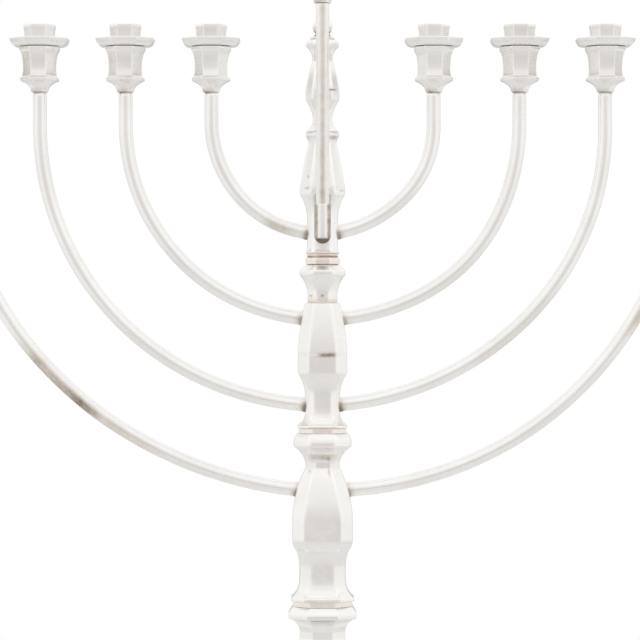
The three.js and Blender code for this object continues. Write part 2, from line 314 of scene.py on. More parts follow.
    @classmethod
    def _trim(cls, leg: np.ndarray, start: float, end: float) -> np.ndarray:
        """A leg with a length taken off each end, for the soft corners there.

        Args:
            leg: the rows of the leg.
            start: length to take off its start.
            end: length to take off its end.

        Returns:
            The rows of the shortened leg.
        """
        along = np.concatenate([[0], np.cumsum(np.hypot(*np.diff(leg[:, :2], axis=0).T))])
        most = cls.MOST_TRIMMED * along[-1]
        start, end = min(start, most), min(end, most)
        marks = [start, *(m for m in along if start < m < along[-1] - end), along[-1] - end]
        return np.array([[np.interp(m, along, leg[:, c]) for c in range(leg.shape[1])] for m in marks])


# ---- Meshes -----------------------------------------------------------------------------------------


def mesh_piece(
    name: str, points: np.ndarray, faces: list[tuple[int, ...]], hollow: np.ndarray, edge: np.ndarray
) -> bpy.types.Object:
    """Makes a smooth-shaded piece that carries two masks for its finish.

    Args:
        name: the piece's name.
        points: its points, in millimetres.
        faces: point numbers of each face.
        hollow: how much tarnish each point takes from its hollows, with painted shade on some pieces, from 0
            to 1.
        edge: how exposed on an edge each point is, from 0 to 1.

    Returns:
        The new object, linked to the scene.
    """
    mesh = bpy.data.meshes.new(name)
    mesh.from_pydata((points * MM).tolist(), [], faces)
    mesh.polygons.foreach_set("use_smooth", [True] * len(mesh.polygons))
    for label, values in (("hollow", hollow), ("edge", edge)):
        layer = mesh.attributes.new(label, "FLOAT", "POINT")
        layer.data.foreach_set("value", np.clip(values, 0, 1).astype(np.float32))
    mesh.validate()
    piece = bpy.data.objects.new(name, mesh)
    bpy.context.scene.collection.objects.link(piece)
    return piece


HOLLOW_GAIN = 0.42  # tarnish that a corner turning by one radian gathers
HOLLOW_MOST = 0.7
EDGE_GAIN = 0.9  # wear on an edge that turns by one radian
EDGE_REACH = 0.5


def relief(rows: np.ndarray, closed: bool, reach: float) -> tuple[np.ndarray, np.ndarray]:
    """How hollow and how exposed an outline is at each of its points.

    Args:
        rows: the outline.
        closed: whether it closes on itself.
        reach: how far tarnish spreads out of a hollow corner.

    Returns:
        A hollow value and an edge value for each row.
    """
    line = rows[:, :2]
    ahead = np.roll(line, -1, axis=0) - line
    behind = line - np.roll(line, 1, axis=0)
    turn = np.arctan2(
        behind[:, 0] * ahead[:, 1] - behind[:, 1] * ahead[:, 0], np.sum(behind * ahead, axis=1)
    )
    if not closed:
        turn[0] = turn[-1] = 0
    along = np.concatenate([[0], np.cumsum(np.hypot(*np.diff(line, axis=0).T))])
    apart = along[:, None] - along[None, :]
    hollow = fade(apart, reach) @ np.clip(-turn, 0, None)
    edge = fade(apart, EDGE_REACH) @ np.clip(turn, 0, None)
    return np.clip(hollow * HOLLOW_GAIN, 0, HOLLOW_MOST), np.clip(edge * EDGE_GAIN, 0, 1)


@dataclass
class Turning:
    """A piece turned on the lathe and filed to eight flats, or left round.

    Where the outline touches the axis the surface closes in a point. stain gives the darkening of
    points that are in the outline's own coordinates, beside the tarnish that gathers in the outline's
    hollows: tarnish on some pieces, painted shade on others.
    seams adds tarnish at the bottom and the top, and flat_steps adds points across each flat.
    MOST_ROUNDED and MOST_HELD are the shares of a flat that its corner's rounding, and the points
    that hold the rounding, may take.
    """

    name: str
    outline: Outline
    bored: bool = False
    corner: float = 0.4
    reach: float = 1.8
    seams: bool = False
    stain: Callable[[np.ndarray], np.ndarray] | None = None
    flat_steps: int = 1

    ARRIS_WEAR = (0.0, 0.18, 0.32, 0.18, 0.0)
    CORNER_COLUMNS = len(ARRIS_WEAR)
    MOST_ROUNDED = 0.3
    MOST_HELD = 0.45
    SUPPORT = 0.35
    SEAM_TARNISH = 0.38
    SEAM_SPREAD = 0.4

    @property
    def _columns(self) -> int:
        """Points in one level."""
        return 8 * (self.CORNER_COLUMNS + self.flat_steps)

    def build(self, at: Vector) -> bpy.types.Object:
        """Lofts the outline round the axis.

        Args:
            at: where the outline's origin goes, in millimetres.

        Returns:
            The new piece.
        """
        rows = self.outline.rows(self.bored)
        hollow, edge = relief(rows, self.bored, self.reach)
        if self.seams:
            from_ends = np.minimum(rows[:, 1] - rows[:, 1].min(), rows[:, 1].max() - rows[:, 1])
            hollow = np.maximum(hollow, self.SEAM_TARNISH * np.exp(-from_ends / self.SEAM_SPREAD))
        columns = self._columns
        points: list[np.ndarray] = []
        masks: list[tuple[float, float]] = []
        starts: list[tuple[int, int]] = []
        for row, sunk, exposed in zip(rows, hollow, edge):
            loop = np.zeros((1, 2)) if row[0] < AXIS else self._loop(row)
            starts.append((len(masks), len(loop)))
            points.append(np.column_stack([loop, np.full(len(loop), row[1])]))
            arris = self._arris_wear(len(loop), row[3])
            masks += [(sunk, min(1.0, exposed + wear) * (1 - sunk)) for wear in arris]
        faces: list[tuple[int, ...]] = []
        pairs = list(zip(starts, starts[1:]))
        if self.bored:
            pairs.append((starts[-1], starts[0]))
        for (low, low_count), (high, high_count) in pairs:
            for j in range(columns):
                k = (j + 1) % columns
                if low_count == 1:
                    faces.append((low, high + k, high + j))
                elif high_count == 1:
                    faces.append((low + j, low + k, high))
                else:
                    faces.append((low + j, low + k, high + k, high + j))
        cloud = np.concatenate(points)
        values = np.array(masks)
        if self.stain:
            values[:, 0] = np.maximum(values[:, 0], self.stain(cloud))
        return mesh_piece(self.name, cloud + np.array(at), faces, values[:, 0], values[:, 1])

    def _loop(self, row: np.ndarray) -> np.ndarray:
        """The points of one level, anticlockwise from above.

        Args:
            row: half width, height, share and roundness of the level.

        Returns:
            X and Y of each point.
        """
        half, share, roundness = row[0], row[2], row[3]
        corners = []
        for quarter in range(4):
            c, s = round(math.cos(quarter * math.pi / 2)), round(math.sin(quarter * math.pi / 2))
            for x, y in ((half, share * half), (share * half, half)):
                corners.append((c * x - s * y, s * x + c * y))
        loop = []
        for i, point in enumerate(corners):
            here = np.array(point)
            back = np.array(corners[i - 1]) - here
            on = np.array(corners[(i + 1) % 8]) - here
            shortest = min(np.hypot(*back), np.hypot(*on))
            soft = min(self.corner * math.tan(math.pi / 8), self.MOST_ROUNDED * shortest)
            rest = min(soft + self.SUPPORT, self.MOST_HELD * shortest)
            back, ahead = back / np.hypot(*back), on / np.hypot(*on)
            loop += [here + back * rest, here + back * soft]
            loop.append(here + (back + ahead) * soft / 4)
            loop += [here + ahead * soft, here + ahead * rest]
            for step in range(1, self.flat_steps + 1):
                share_along = step / (self.flat_steps + 1)
                loop.append(here + ahead * rest + (on - 2 * rest * ahead) * share_along)
        octagon = np.array(loop)
        if roundness <= 0:
            return octagon
        middle = (self.CORNER_COLUMNS - 1) / 2
        angle = (np.arange(self._columns) - middle) * 2 * math.pi / self._columns + math.pi / 8
        circle = half * np.column_stack([np.cos(angle), np.sin(angle)])
        return (1 - roundness) * octagon + roundness * circle

    def _arris_wear(self, count: int, roundness: float) -> list[float]:
        """Edge wear of each point round one level: high on the arrises between two flats.

        Args:
            count: how many points the level has.
            roundness: how round the level is.

        Returns:
            One value from 0 to 1 for each point.
        """
        if count == 1 or roundness > 0.5:
            return [0.0] * count
        return [*self.ARRIS_WEAR, *([0.0] * self.flat_steps)] * 8


@dataclass
class Rod:
    """A drawn round rod bent along a line of points in an upright plane, with closed ends."""

    name: str
    centres: np.ndarray
    radii: np.ndarray
    hollow: np.ndarray

    SIDES = 28

    def build(self) -> bpy.types.Object:
        """Sweeps the rod's section along its line.

        Returns:
            The new piece.
        """
        steps = np.gradient(self.centres, axis=0)
        ahead = steps / np.linalg.norm(steps, axis=1)[:, None]
        across = np.tile([0.0, 1.0, 0.0], (len(ahead), 1))
        outward = np.cross(ahead, across)
        angle = np.linspace(0, 2 * math.pi, self.SIDES, endpoint=False)
        turned = np.cos(angle)[None, :, None] * outward[:, None, :]
        turned = turned + np.sin(angle)[None, :, None] * across[:, None, :]
        ring = self.radii[:, None, None] * turned
        points = (self.centres[:, None, :] + ring).reshape(-1, 3)
        faces: list[tuple[int, ...]] = []
        first, last = len(points), len(points) + 1
        tail = (len(self.centres) - 1) * self.SIDES
        sides = [(j, (j + 1) % self.SIDES) for j in range(self.SIDES)]
        for low in range(0, tail, self.SIDES):
            high = low + self.SIDES
            faces += [(low + j, high + j, high + k, low + k) for j, k in sides]
        points = np.concatenate([points, self.centres[:1], self.centres[-1:]])
        for j, k in sides:
            faces.append((first, j, k))
            faces.append((last, tail + k, tail + j))
        hollow = np.concatenate([self.hollow.ravel(), self.hollow[0, :1], self.hollow[-1, :1]])
        return mesh_piece(self.name, points, faces, hollow, np.zeros(len(points)))


# ---- Shader building --------------------------------------------------------------------------------


class NodeNet:
    """A node tree with short calls for adding nodes and joining them."""

    RANGE = ("Value", "From Min", "From Max", "To Min", "To Max")

    def __init__(self, tree: bpy.types.NodeTree) -> None:
        """Wraps a tree."""
        self.tree = tree

    def node(self, kind: str, **settings: object) -> bpy.types.Node:
        """Adds a node and sets its properties.

        Args:
            kind: the node type.
            **settings: values of its properties, by name.

        Returns:
            The new node.
        """
        made = self.tree.nodes.new(kind)
        for name, value in settings.items():
            setattr(made, name, value)
        return made

    def feed(self, socket: Socket, value: object) -> None:
        """Joins a socket to another, or sets its own value.

        Args:
            socket: an input socket.
            value: the socket to join it to, or its own value.
        """
        if isinstance(value, bpy.types.NodeSocket):
            self.tree.links.new(value, socket)
        elif isinstance(value, tuple) and socket.type == "RGBA":
            socket.default_value = (*value, 1.0)
        else:
            socket.default_value = value

    def math(self, operation: str, *values: object, clamp: bool = False) -> Socket:
        """Adds a Math node and gives its result.

        Args:
            operation: what the node does.
            *values: what feeds its inputs, in order.
            clamp: whether the result is kept from 0 to 1.

        Returns:
            The result socket.
        """
        made = self.node("ShaderNodeMath", operation=operation, use_clamp=clamp)
        for socket, value in zip(made.inputs, values):
            self.feed(socket, value)
        return made.outputs[0]

    def noise(self, vector: object, scale: object, detail: float = 3.0, rough: float = 0.5) -> Socket:
        """Adds a Noise Texture and gives its value.

        Args:
            vector: what feeds its place.
            scale: how fine the noise is.
            detail: how many finer layers it has.
            rough: how strong the finer layers are.

        Returns:
            The value socket.
        """
        made = self.node("ShaderNodeTexNoise")
        self.feed(made.inputs["Vector"], vector)
        self.feed(made.inputs["Scale"], scale)
        self.feed(made.inputs["Detail"], detail)
        self.feed(made.inputs["Roughness"], rough)
        return made.outputs[0]

    def stretch(self, vector: object, scale: Colour, turn: Colour = (0.0, 0.0, 0.0)) -> Socket:
        """Adds a Mapping node that scales and turns a vector.

        Args:
            vector: the vector to change.
            scale: its scale along each axis.
            turn: its turn about each axis, in radians.

        Returns:
            The changed vector.
        """
        made = self.node("ShaderNodeMapping")
        self.feed(made.inputs["Vector"], vector)
        self.feed(made.inputs["Scale"], scale)
        self.feed(made.inputs["Rotation"], turn)
        return made.outputs[0]

    def remap(
        self, value: object, low: float, high: float, to_low: float = 0.0, to_high: float = 1.0
    ) -> Socket:
        """Adds a smooth Map Range node and gives its result.

        Args:
            value: what feeds the node.
            low: the value that gives to_low.
            high: the value that gives to_high.
            to_low: the result at and below low.
            to_high: the result at and above high.

        Returns:
            The result socket.
        """
        made = self.node("ShaderNodeMapRange", interpolation_type="SMOOTHSTEP")
        for name, number in zip(self.RANGE, (value, low, high, to_low, to_high)):
            self.feed(made.inputs[name], number)
        return made.outputs[0]

    def blend(self, factor: object, first: object, second: object) -> Socket:
        """Mixes two colours and gives the result.

        Args:
            factor: how much of the second colour is in the mix.
            first: the first colour.
            second: the second colour.

        Returns:
            The mixed colour.
        """
        made = self.node("ShaderNodeMix", data_type="RGBA")
        self.feed(made.inputs[0], factor)
        self.feed(made.inputs[6], first)
        self.feed(made.inputs[7], second)
        return made.outputs[2]

    def bump(self, shader: bpy.types.Node, height: object, depth: float) -> None:
        """Raises a shader's surface by a height.

        Args:
            shader: the shader node.
            height: what feeds the height.
            depth: how deep a height of one is, in metres.
        """
        made = self.node("ShaderNodeBump")
        made.inputs["Distance"].default_value = depth
        self.feed(made.inputs["Height"], height)
        self.feed(shader.inputs["Normal"], made.outputs["Normal"])

    def group(self, tree: bpy.types.NodeTree, **values: object) -> bpy.types.Node:
        """Places a node group and feeds its named inputs.

        Args:
            tree: the node group.
            **values: what feeds its inputs, by name.

        Returns:
            The node that holds the group.
        """
        made = self.node("ShaderNodeGroup", node_tree=tree)
        for name, value in values.items():
            self.feed(made.inputs[name], value)
        return made


def new_group(name: str, inputs: dict[str, str], outputs: dict[str, str]) -> tuple[NodeNet, dict, dict]:
    """Starts a shader node group with named sockets.

    Args:
        name: the group's name.
        inputs: kind of each input socket, by its name.
        outputs: kind of each output socket, by its name.

    Returns:
        The net to build in, the sockets that bring values in and the sockets that take them out.
    """
    tree = bpy.data.node_groups.new(name, "ShaderNodeTree")
    for label, kind in inputs.items():
        tree.interface.new_socket(name=label, in_out="INPUT", socket_type=kind)
    for label, kind in outputs.items():
        tree.interface.new_socket(name=label, in_out="OUTPUT", socket_type=kind)
    net = NodeNet(tree)
    entry, leave = net.node("NodeGroupInput"), net.node("NodeGroupOutput")
    return net, {k: entry.outputs[k] for k in inputs}, {k: leave.inputs[k] for k in outputs}


class SharedEffects:
    """Node groups that several finishes use, each built once."""

    def __init__(self) -> None:
        """Builds the groups."""
        self.polish = self._polish_marks()
        self.tarnish = self._tarnish_and_shade()
        self.wear = self._edge_wear()

    @staticmethod
    def _polish_marks() -> bpy.types.NodeTree:
        """Fine cloth scratches in three directions over a slow hammered swell.

        Returns:
            The node group.
        """
        net, given, out = new_group(
            "polish marks",
            {"Vector": "NodeSocketVector", "Scratches": "NodeSocketFloat", "Swell": "NodeSocketFloat"},
            {"Height": "NodeSocketFloat", "Haze": "NodeSocketFloat"},
        )
        scratches = None
        rubs = (((1, 1, 0.05), (0.3, 0.1, 0)), ((0.05, 1, 1), (0, 0.5, 0.2)), ((1, 0.06, 1), (0.7, 0, 1.1)))
        for scale, turn in rubs:
            lines = net.noise(net.stretch(given["Vector"], scale, turn), 5200.0, 2.0, 0.6)
            lines = net.remap(lines, 0.44, 0.62)
            scratches = lines if scratches is None else net.math("MAXIMUM", scratches, lines)
        slow = net.noise(given["Vector"], 95.0, 2.0, 0.45)
        swell = net.math("MULTIPLY", slow, given["Swell"])
        net.feed(out["Height"], net.math("MULTIPLY_ADD", scratches, given["Scratches"], swell))
        smudge = net.noise(given["Vector"], 60.0, 5.0, 0.65)
        haze = net.math("MULTIPLY_ADD", scratches, 0.35, net.remap(smudge, 0.42, 0.75), clamp=True)
        net.feed(out["Haze"], haze)
        return net.tree

    @staticmethod
    def _tarnish_and_shade() -> bpy.types.NodeTree:
        """Brown sulphide that stays in hollows, with a thin yellow bloom around it. The Hollow mask also
        carries painted shade on some pieces, which is coloured the same way.

        Returns:
            The node group.
        """
        net, given, out = new_group(
            "tarnish",
            {"Vector": "NodeSocketVector", "Hollow": "NodeSocketFloat", "Amount": "NodeSocketFloat"},
            {"Bloom": "NodeSocketFloat", "Dark": "NodeSocketFloat"},
        )
        patch = net.noise(given["Vector"], 210.0, 5.0, 0.62)
        speckle = net.noise(given["Vector"], 1500.0, 3.0, 0.6)
        broken = net.math("MULTIPLY_ADD", patch, 0.8, net.math("MULTIPLY_ADD", speckle, 0.4, 0.4))
        held = net.math("MULTIPLY", net.math("MULTIPLY", given["Hollow"], broken), given["Amount"])
        drift = net.remap(net.noise(given["Vector"], 38.0, 4.0, 0.6), 0.5, 0.8, 0.0, 0.16)
        spread = net.math("MULTIPLY_ADD", drift, given["Amount"], held)
        net.feed(out["Bloom"], net.remap(spread, 0.08, 0.75))
        net.feed(out["Dark"], net.remap(held, 0.42, 1.0))
        return net.tree

    @staticmethod
    def _edge_wear() -> bpy.types.NodeTree:
        """Edges rubbed bright, broken up by a fine noise.

        Returns:
            The node group.
        """
        net, given, out = new_group(
            "edge wear",
            {"Vector": "NodeSocketVector", "Edge": "NodeSocketFloat", "Amount": "NodeSocketFloat"},
            {"Mask": "NodeSocketFloat"},
        )
        broken = net.remap(net.noise(given["Vector"], 420.0, 4.0, 0.65), 0.3, 0.7, 0.35, 1.0)
        rubbed = net.math("MULTIPLY", given["Edge"], broken)
        net.feed(out["Mask"], net.math("MULTIPLY", rubbed, given["Amount"], clamp=True))
        return net.tree


def new_material(name: str) -> tuple[bpy.types.Material, NodeNet, bpy.types.Node, Socket]:
    """Starts a material with a Principled shader.

    Args:
        name: the material's name.

    Returns:
        The material, its net, its shader node and the object-space vector.
    """
    material = bpy.data.materials.new(name)
    material.use_nodes = True
    net = NodeNet(material.node_tree)
    shader = material.node_tree.nodes["Principled BSDF"]
    vector = net.node("ShaderNodeTexCoord").outputs["Object"]
    return material, net, shader, vector


@dataclass(frozen=True)
class SilverFinish:
    """Silver plate over brass, polished by hand: bright on the flats, brown where a cloth can't reach, and
    darkened by painted shade where a piece's mask carries it.
    """

    name: str
    tint: Colour = (0.945, 0.94, 0.93)
    bloom: Colour = (0.65, 0.58, 0.49)
    dark: Colour = (0.21, 0.17, 0.125)
    worn: Colour = (0.97, 0.955, 0.93)
    gloss: float = 0.15
    haze: float = 0.16
    tarnish: float = 1.0
    wear: float = 0.8
    scratches: float = 0.05
    swell: float = 0.5
    dent: float = 0.00012
    mottle: float = 0.14
    bloom_cover: float = 0.8
    bloom_rough: float = 0.14
    dark_rough: float = 0.35
    dark_metal: float = 0.55

    def material(self, effects: SharedEffects) -> bpy.types.Material:
        """Builds the finish.

        Args:
            effects: the node groups that finishes share.

        Returns:
            The material.
        """
        material, net, shader, vector = new_material(self.name)
        sunk = net.node("ShaderNodeAttribute", attribute_name="hollow").outputs["Fac"]
        exposed = net.node("ShaderNodeAttribute", attribute_name="edge").outputs["Fac"]
        marks = net.group(effects.polish, Vector=vector, Scratches=self.scratches, Swell=self.swell)
        # tarnish and painted shade from the hollow mask
        stain = net.group(effects.tarnish, Vector=vector, Hollow=sunk, Amount=self.tarnish)
        rubbed = net.group(effects.wear, Vector=vector, Edge=exposed, Amount=self.wear).outputs["Mask"]
        tone = net.remap(net.noise(vector, 26.0, 3.0, 0.55), 0.35, 0.7, 0.0, self.mottle)
        colour = net.blend(tone, self.tint, self.bloom)
        bloom, dark = stain.outputs["Bloom"], stain.outputs["Dark"]
        colour = net.blend(net.math("MULTIPLY", bloom, self.bloom_cover), colour, self.bloom)
        colour = net.blend(rubbed, colour, self.worn)
        colour = net.blend(dark, colour, self.dark)
        net.feed(shader.inputs["Base Color"], colour)
        rough = net.math("MULTIPLY_ADD", marks.outputs["Haze"], self.haze, self.gloss)
        rough = net.math("MULTIPLY_ADD", bloom, self.bloom_rough, rough)
        rough = net.math("MULTIPLY_ADD", dark, self.dark_rough, rough, clamp=True)
        net.feed(shader.inputs["Roughness"], rough)
        net.feed(shader.inputs["Metallic"], net.remap(dark, 0.2, 1.0, 1.0, self.dark_metal))
        net.bump(shader, marks.outputs["Height"], self.dent)
        return material


@dataclass(frozen=True)
class SteelFinish:
    """Drawn steel with lengthways draw marks."""

    name: str
    tint: Colour = (0.56, 0.56, 0.55)
    grime: Colour = (0.2, 0.17, 0.14)
    stain: float = 0.4
    groove: float = 0.00003

    def material(self, effects: SharedEffects) -> bpy.types.Material:
        """Builds the finish.

        Args:
            effects: the node groups that finishes share.

        Returns:
            The material.
        """
        material, net, shader, vector = new_material(self.name)
        drawn = net.noise(net.stretch(vector, (1.0, 1.0, 0.02)), 2600.0, 3.0, 0.6)
        stain = net.group(effects.tarnish, Vector=vector, Hollow=self.stain, Amount=1.0)
        net.feed(shader.inputs["Base Color"], net.blend(stain.outputs["Bloom"], self.tint, self.grime))
        net.feed(shader.inputs["Roughness"], net.remap(drawn, 0.3, 0.7, 0.28, 0.5))
        shader.inputs["Metallic"].default_value = 1.0
        net.bump(shader, drawn, self.groove)
        return material


@dataclass(frozen=True)
class FeltFinish:
    """Pressed wool felt with a short nap."""

    name: str
    deep: Colour = (0.018, 0.026, 0.055)
    pale: Colour = (0.075, 0.1, 0.17)
    nap_depth: float = 0.0004

    def material(self, effects: SharedEffects) -> bpy.types.Material:
        """Builds the finish.

        Args:
            effects: the node groups that finishes share.

        Returns:
            The material.
        """
        material, net, shader, vector = new_material(self.name)
        fibres = net.noise(net.stretch(vector, (1.0, 0.25, 1.0), (0.0, 0.0, 0.6)), 3200.0, 6.0, 0.75)
        crossed = net.noise(net.stretch(vector, (0.25, 1.0, 1.0), (0.0, 0.0, 0.2)), 2900.0, 6.0, 0.75)
        nap = net.math("MULTIPLY", net.math("ADD", fibres, crossed), 0.5)
        clouds = net.noise(vector, 70.0, 4.0, 0.6)
        clouds = net.remap(clouds, 0.3, 0.8, 0.0, 0.4)
        tone = net.math("ADD", net.remap(nap, 0.3, 0.7, 0.0, 0.7), clouds, clamp=True)
        net.feed(shader.inputs["Base Color"], net.blend(tone, self.deep, self.pale))
        shader.inputs["Roughness"].default_value = 0.95
        shader.inputs["Sheen Weight"].default_value = 0.35
        net.bump(shader, nap, self.nap_depth)
        return material


@dataclass(frozen=True)
class FloorFinish:
    """Matt white board with a painted pool of light: lighter in the middle, greyer away from it."""

    name: str
    # near is the painted pool of light in the middle of the board, far the greyer board round it
    near: Colour = (0.83, 0.825, 0.82)
    far: Colour = (0.76, 0.755, 0.75)

    def material(self) -> bpy.types.Material:
        """Builds the finish.

        Returns:
            The material.
        """
        material, net, shader, vector = new_material(self.name)
        grain = net.remap(net.noise(vector, 900.0, 4.0, 0.6), 0.35, 0.65)
        reach = net.node("ShaderNodeVectorMath", operation="LENGTH")
        net.feed(reach.inputs[0], vector)
        # painted pool of light: the board is lighter near the middle
        painted_light_pool = net.blend(net.remap(reach.outputs["Value"], 0.12, 0.42), self.near, self.far)
        speck = net.math("MULTIPLY", grain, 0.04)
        net.feed(shader.inputs["Base Color"], net.blend(speck, painted_light_pool, (0.5, 0.5, 0.5)))
        shader.inputs["Roughness"].default_value = 0.7
        return material


class Finishes:
    """The stand's materials, one for each slot."""

    def __init__(self) -> None:
        """Builds every material."""
        effects = SharedEffects()
        recipes = {
            Slot.SILVER: SilverFinish("silver_plate"),
            Slot.NOZZLE: SilverFinish("nozzle_silver_plate", haze=0.2, tarnish=0.8),
            # the joint rings are tinted pinkish-brown, darker than the balusters
            Slot.RING: SilverFinish(
                "pinkish_ring_plate", tint=(0.92, 0.84, 0.79), bloom=(0.66, 0.53, 0.44), tarnish=0.85, gloss=0.2
            ),
            Slot.PLATE: SilverFinish("satin_silver_plate", gloss=0.3, haze=0.2, tarnish=0.6),
            Slot.STEEL: SteelFinish("drawn_steel"),
            Slot.FELT: FeltFinish("navy_felt"),
        }
        self.by_slot = {slot: recipe.material(effects) for slot, recipe in recipes.items()}

    def dress(self, piece: bpy.types.Object, slot: Slot, body: str, node: str) -> None:
        """Gives a piece its finish and ties it to the frame.

        Args:
            piece: the new piece.
            slot: the material slot it takes its finish from.
            body: the body it rides on.
            node: the frame node that it stands for.
        """
        piece.data.materials.append(self.by_slot[slot])
        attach(piece, body)
        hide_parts(node)
        LOG.info("%s: %d faces on %s", piece.name, len(piece.data.polygons), body)

    def place(
        self, form: Turning, node: str, slot: Slot, body: str = Body.STAND.value, raised: float = 0.0
    ) -> None:
        """Builds a turned piece where its frame node stands, and dresses it.

        Args:
            form: the turned piece.
            node: the frame node that it stands for.
            slot: the material slot it takes its finish from.
            body: the body it rides on.
            raised: how far the outline's origin is above the node's lowest point.
        """
        self.dress(form.build(foot_point(node) + Vector((0, 0, raised))), slot, body, node)

    def keep(self, node: str, slot: Slot) -> None:
        """Gives a frame node that is already right its finish.

        Args:
            node: the frame node.
            slot: the material slot it takes its finish from.
        """
        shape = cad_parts[node]
        shape.data.materials.clear()
        shape.data.materials.append(self.by_slot[slot])
        LOG.info("%s: kept from the frame", node)


# ---- Foot -------------------------------------------------------------------------------------------


@dataclass
class Foot:
    """The hollow stepped octagonal foot with its bottom plate, felt and neck."""

    half: float = 75.0
    wall: float = 1.8
    deck: float = 3.0
    bore: float = TIE_BORE
    neck: float = 10.6
    neck_rim: float = 15.8
    neck_top: float = 13.8

    NAP_SCALE = 900
    NAP_DEPTH = 0.00012

    def build(self, finishes: Finishes) -> None:
        """Builds and dresses the foot's pieces.

        Args:
            finishes: the stand's materials.
        """
        shell = Turning("foot_shell", self._shell_outline(), bored=True, corner=1.1, reach=2.2)
        finishes.dress(shell.build(Vector((0, 0, 0))), Slot.SILVER, Body.STAND.value, "base_shell")
        neck = Turning("foot_neck", self._neck_outline(), bored=True, seams=True)
        finishes.place(neck, "base_neck", Slot.SILVER)
        self._plate(finishes)
        self._felt(finishes)

    def _steps(self) -> tuple[tuple[float, ...], ...]:
        """The legs of the foot's stepped outside, from the rim to the top step.

        Returns:
            Legs as Outline.run takes them.
        """
        return (
            (self.half, 5.2, 0.5), (70.5, 9, 0.2, self.half - 0.1, 8.4, 12), (69, 9, 0.3), (69, 11, 0.5),
            (56, 20, 0.3, 58, 12, 20), (54.4, 20, 0.25), (54.4, 22.6, 0.4),
            (36, 35.4, 0.3, 53.4, 34.4, 24), (34, 35.4, 0.25), (34, 38, 0.4),
        )

    def _shell_outline(self) -> Outline:
        """Outside, deck, bore and hollow of the shell as one closed line.

        Returns:
            The closed outline.
        """
        rim, top = low_corner("base_shell").z, high_corner("base_shell").z
        start, under_deck = Level(self.half - self.wall, rim), top - self.deck
        outline = Outline(start).run((self.half - 0.3, rim, 0.3), (self.half, rim + 1.0, 0.3))
        outline.run(*self._steps(), (23.4, top, 0.4, 24.4, 39, 20))
        outline.run((self.bore, top, 0.2), (self.bore, under_deck, 0.2), roundness=1)
        hollow = Outline(start).run(*self._steps(), inward=self.wall)
        hollow.run((21.6, under_deck, 0.4, 24.4 - self.wall, 39 - self.wall, 20))
        return outline.retrace(hollow)

    def _neck_outline(self) -> Outline:
        """Spreading skirt, neck, cove and rim of the piece under the stem.

        Returns:
            The closed outline.
        """
        height, skirt = tall("base_neck"), high_corner("base_neck").x
        neck, rim, top = self.neck, self.neck_rim, self.neck_top
        outline = Outline(Level(self.bore, 0, roundness=1))
        outline.run((skirt - 0.2, 0, 0.25), (skirt, 0.5, 0.2), (skirt, 1.5, 0.3), (skirt - 1.2, 2.2, 0.25))
        outline.run((neck, 14, 0.2, neck + 0.8, 5.2, 22), (neck, height - 11.4, 0.3), share=0.43)
        outline.run(
            (rim, height - 5.4, 0.25, neck + 0.7, height - 6.8, 16), (rim, height - 3.6, 0.35),
            (top, height - 0.1, 0.2, top + 1.4, height - 1.9, 8), (top - 0.4, height, 0.1), share=SLIM,
        )
        return outline.run((self.bore, height, 0.2), (self.bore, 0, 0.2), roundness=1)

    def _plate(self, finishes: Finishes) -> None:
        """The thin plate that closes the foot, with a raised bead near its edge.

        Args:
            finishes: the stand's materials.
        """
        half, height = high_corner("bottom_plate").x, tall("bottom_plate")
        outline = Outline(Level(0, 0)).run(
            (half - 3.5, 0, 0.3), (half - 1.8, 0.05, 0.2, half - 2.6, 0.45, 8),
            (half, 0, 0.25), (half, height, 0.25), (0, height, 0.2),
        )
        finishes.place(Turning("foot_plate", outline, corner=1.2), "bottom_plate", Slot.PLATE)

    def _felt(self, finishes: Finishes) -> None:
        """The pad, with a soft cut edge and an uneven nap.

        Args:
            finishes: the stand's materials.
        """
        half, height = high_corner("felt_pad").x, tall("felt_pad")
        outline = Outline(Level(0, 0)).run(
            (half - 24, 0, 0.2), (half - 0.25, 0, 0.3), (half, 0.5, 0.1, half, 0.1, 5),
            (half, height - 0.4, 0.1), (half - 0.5, height, 0.1, half, height, 5), (0, height, 0.2),
        )
        piece = Turning("foot_felt", outline, corner=1.4).build(foot_point("felt_pad"))
        for vertex in piece.data.vertices:
            ragged = abs(noise.noise(vertex.co * self.NAP_SCALE) * self.NAP_DEPTH)
            if math.hypot(vertex.co.x, vertex.co.y) > (half - 2) * MM:
                vertex.co.x -= ragged * math.copysign(1, vertex.co.x)
                vertex.co.y -= ragged * math.copysign(1, vertex.co.y)
        finishes.dress(piece, Slot.FELT, Body.STAND.value, "felt_pad")


# ---- Stem -------------------------------------------------------------------------------------------


@dataclass(frozen=True)
class Mark:
    """A spot or run of painted shade on the front of a baluster, laid on as tarnish and placed by its
    centre.
    """

    across: float
    rise: float
    width: float
    height: float
    strength: float = 0.6

    def cover(self, points: np.ndarray) -> np.ndarray:
        """How strongly the mark covers each point.

        Args:
            points: points in the baluster's own coordinates, one to a row.

        Returns:
            One value from 0 to 1 for each point.
        """
        x = (points[:, 0] - self.across) / (self.width / 2)
        z = (points[:, 2] - self.rise) / (self.height / 2)
        return self.strength * np.exp(-(x**4) - z**4) * (points[:, 1] < 0)


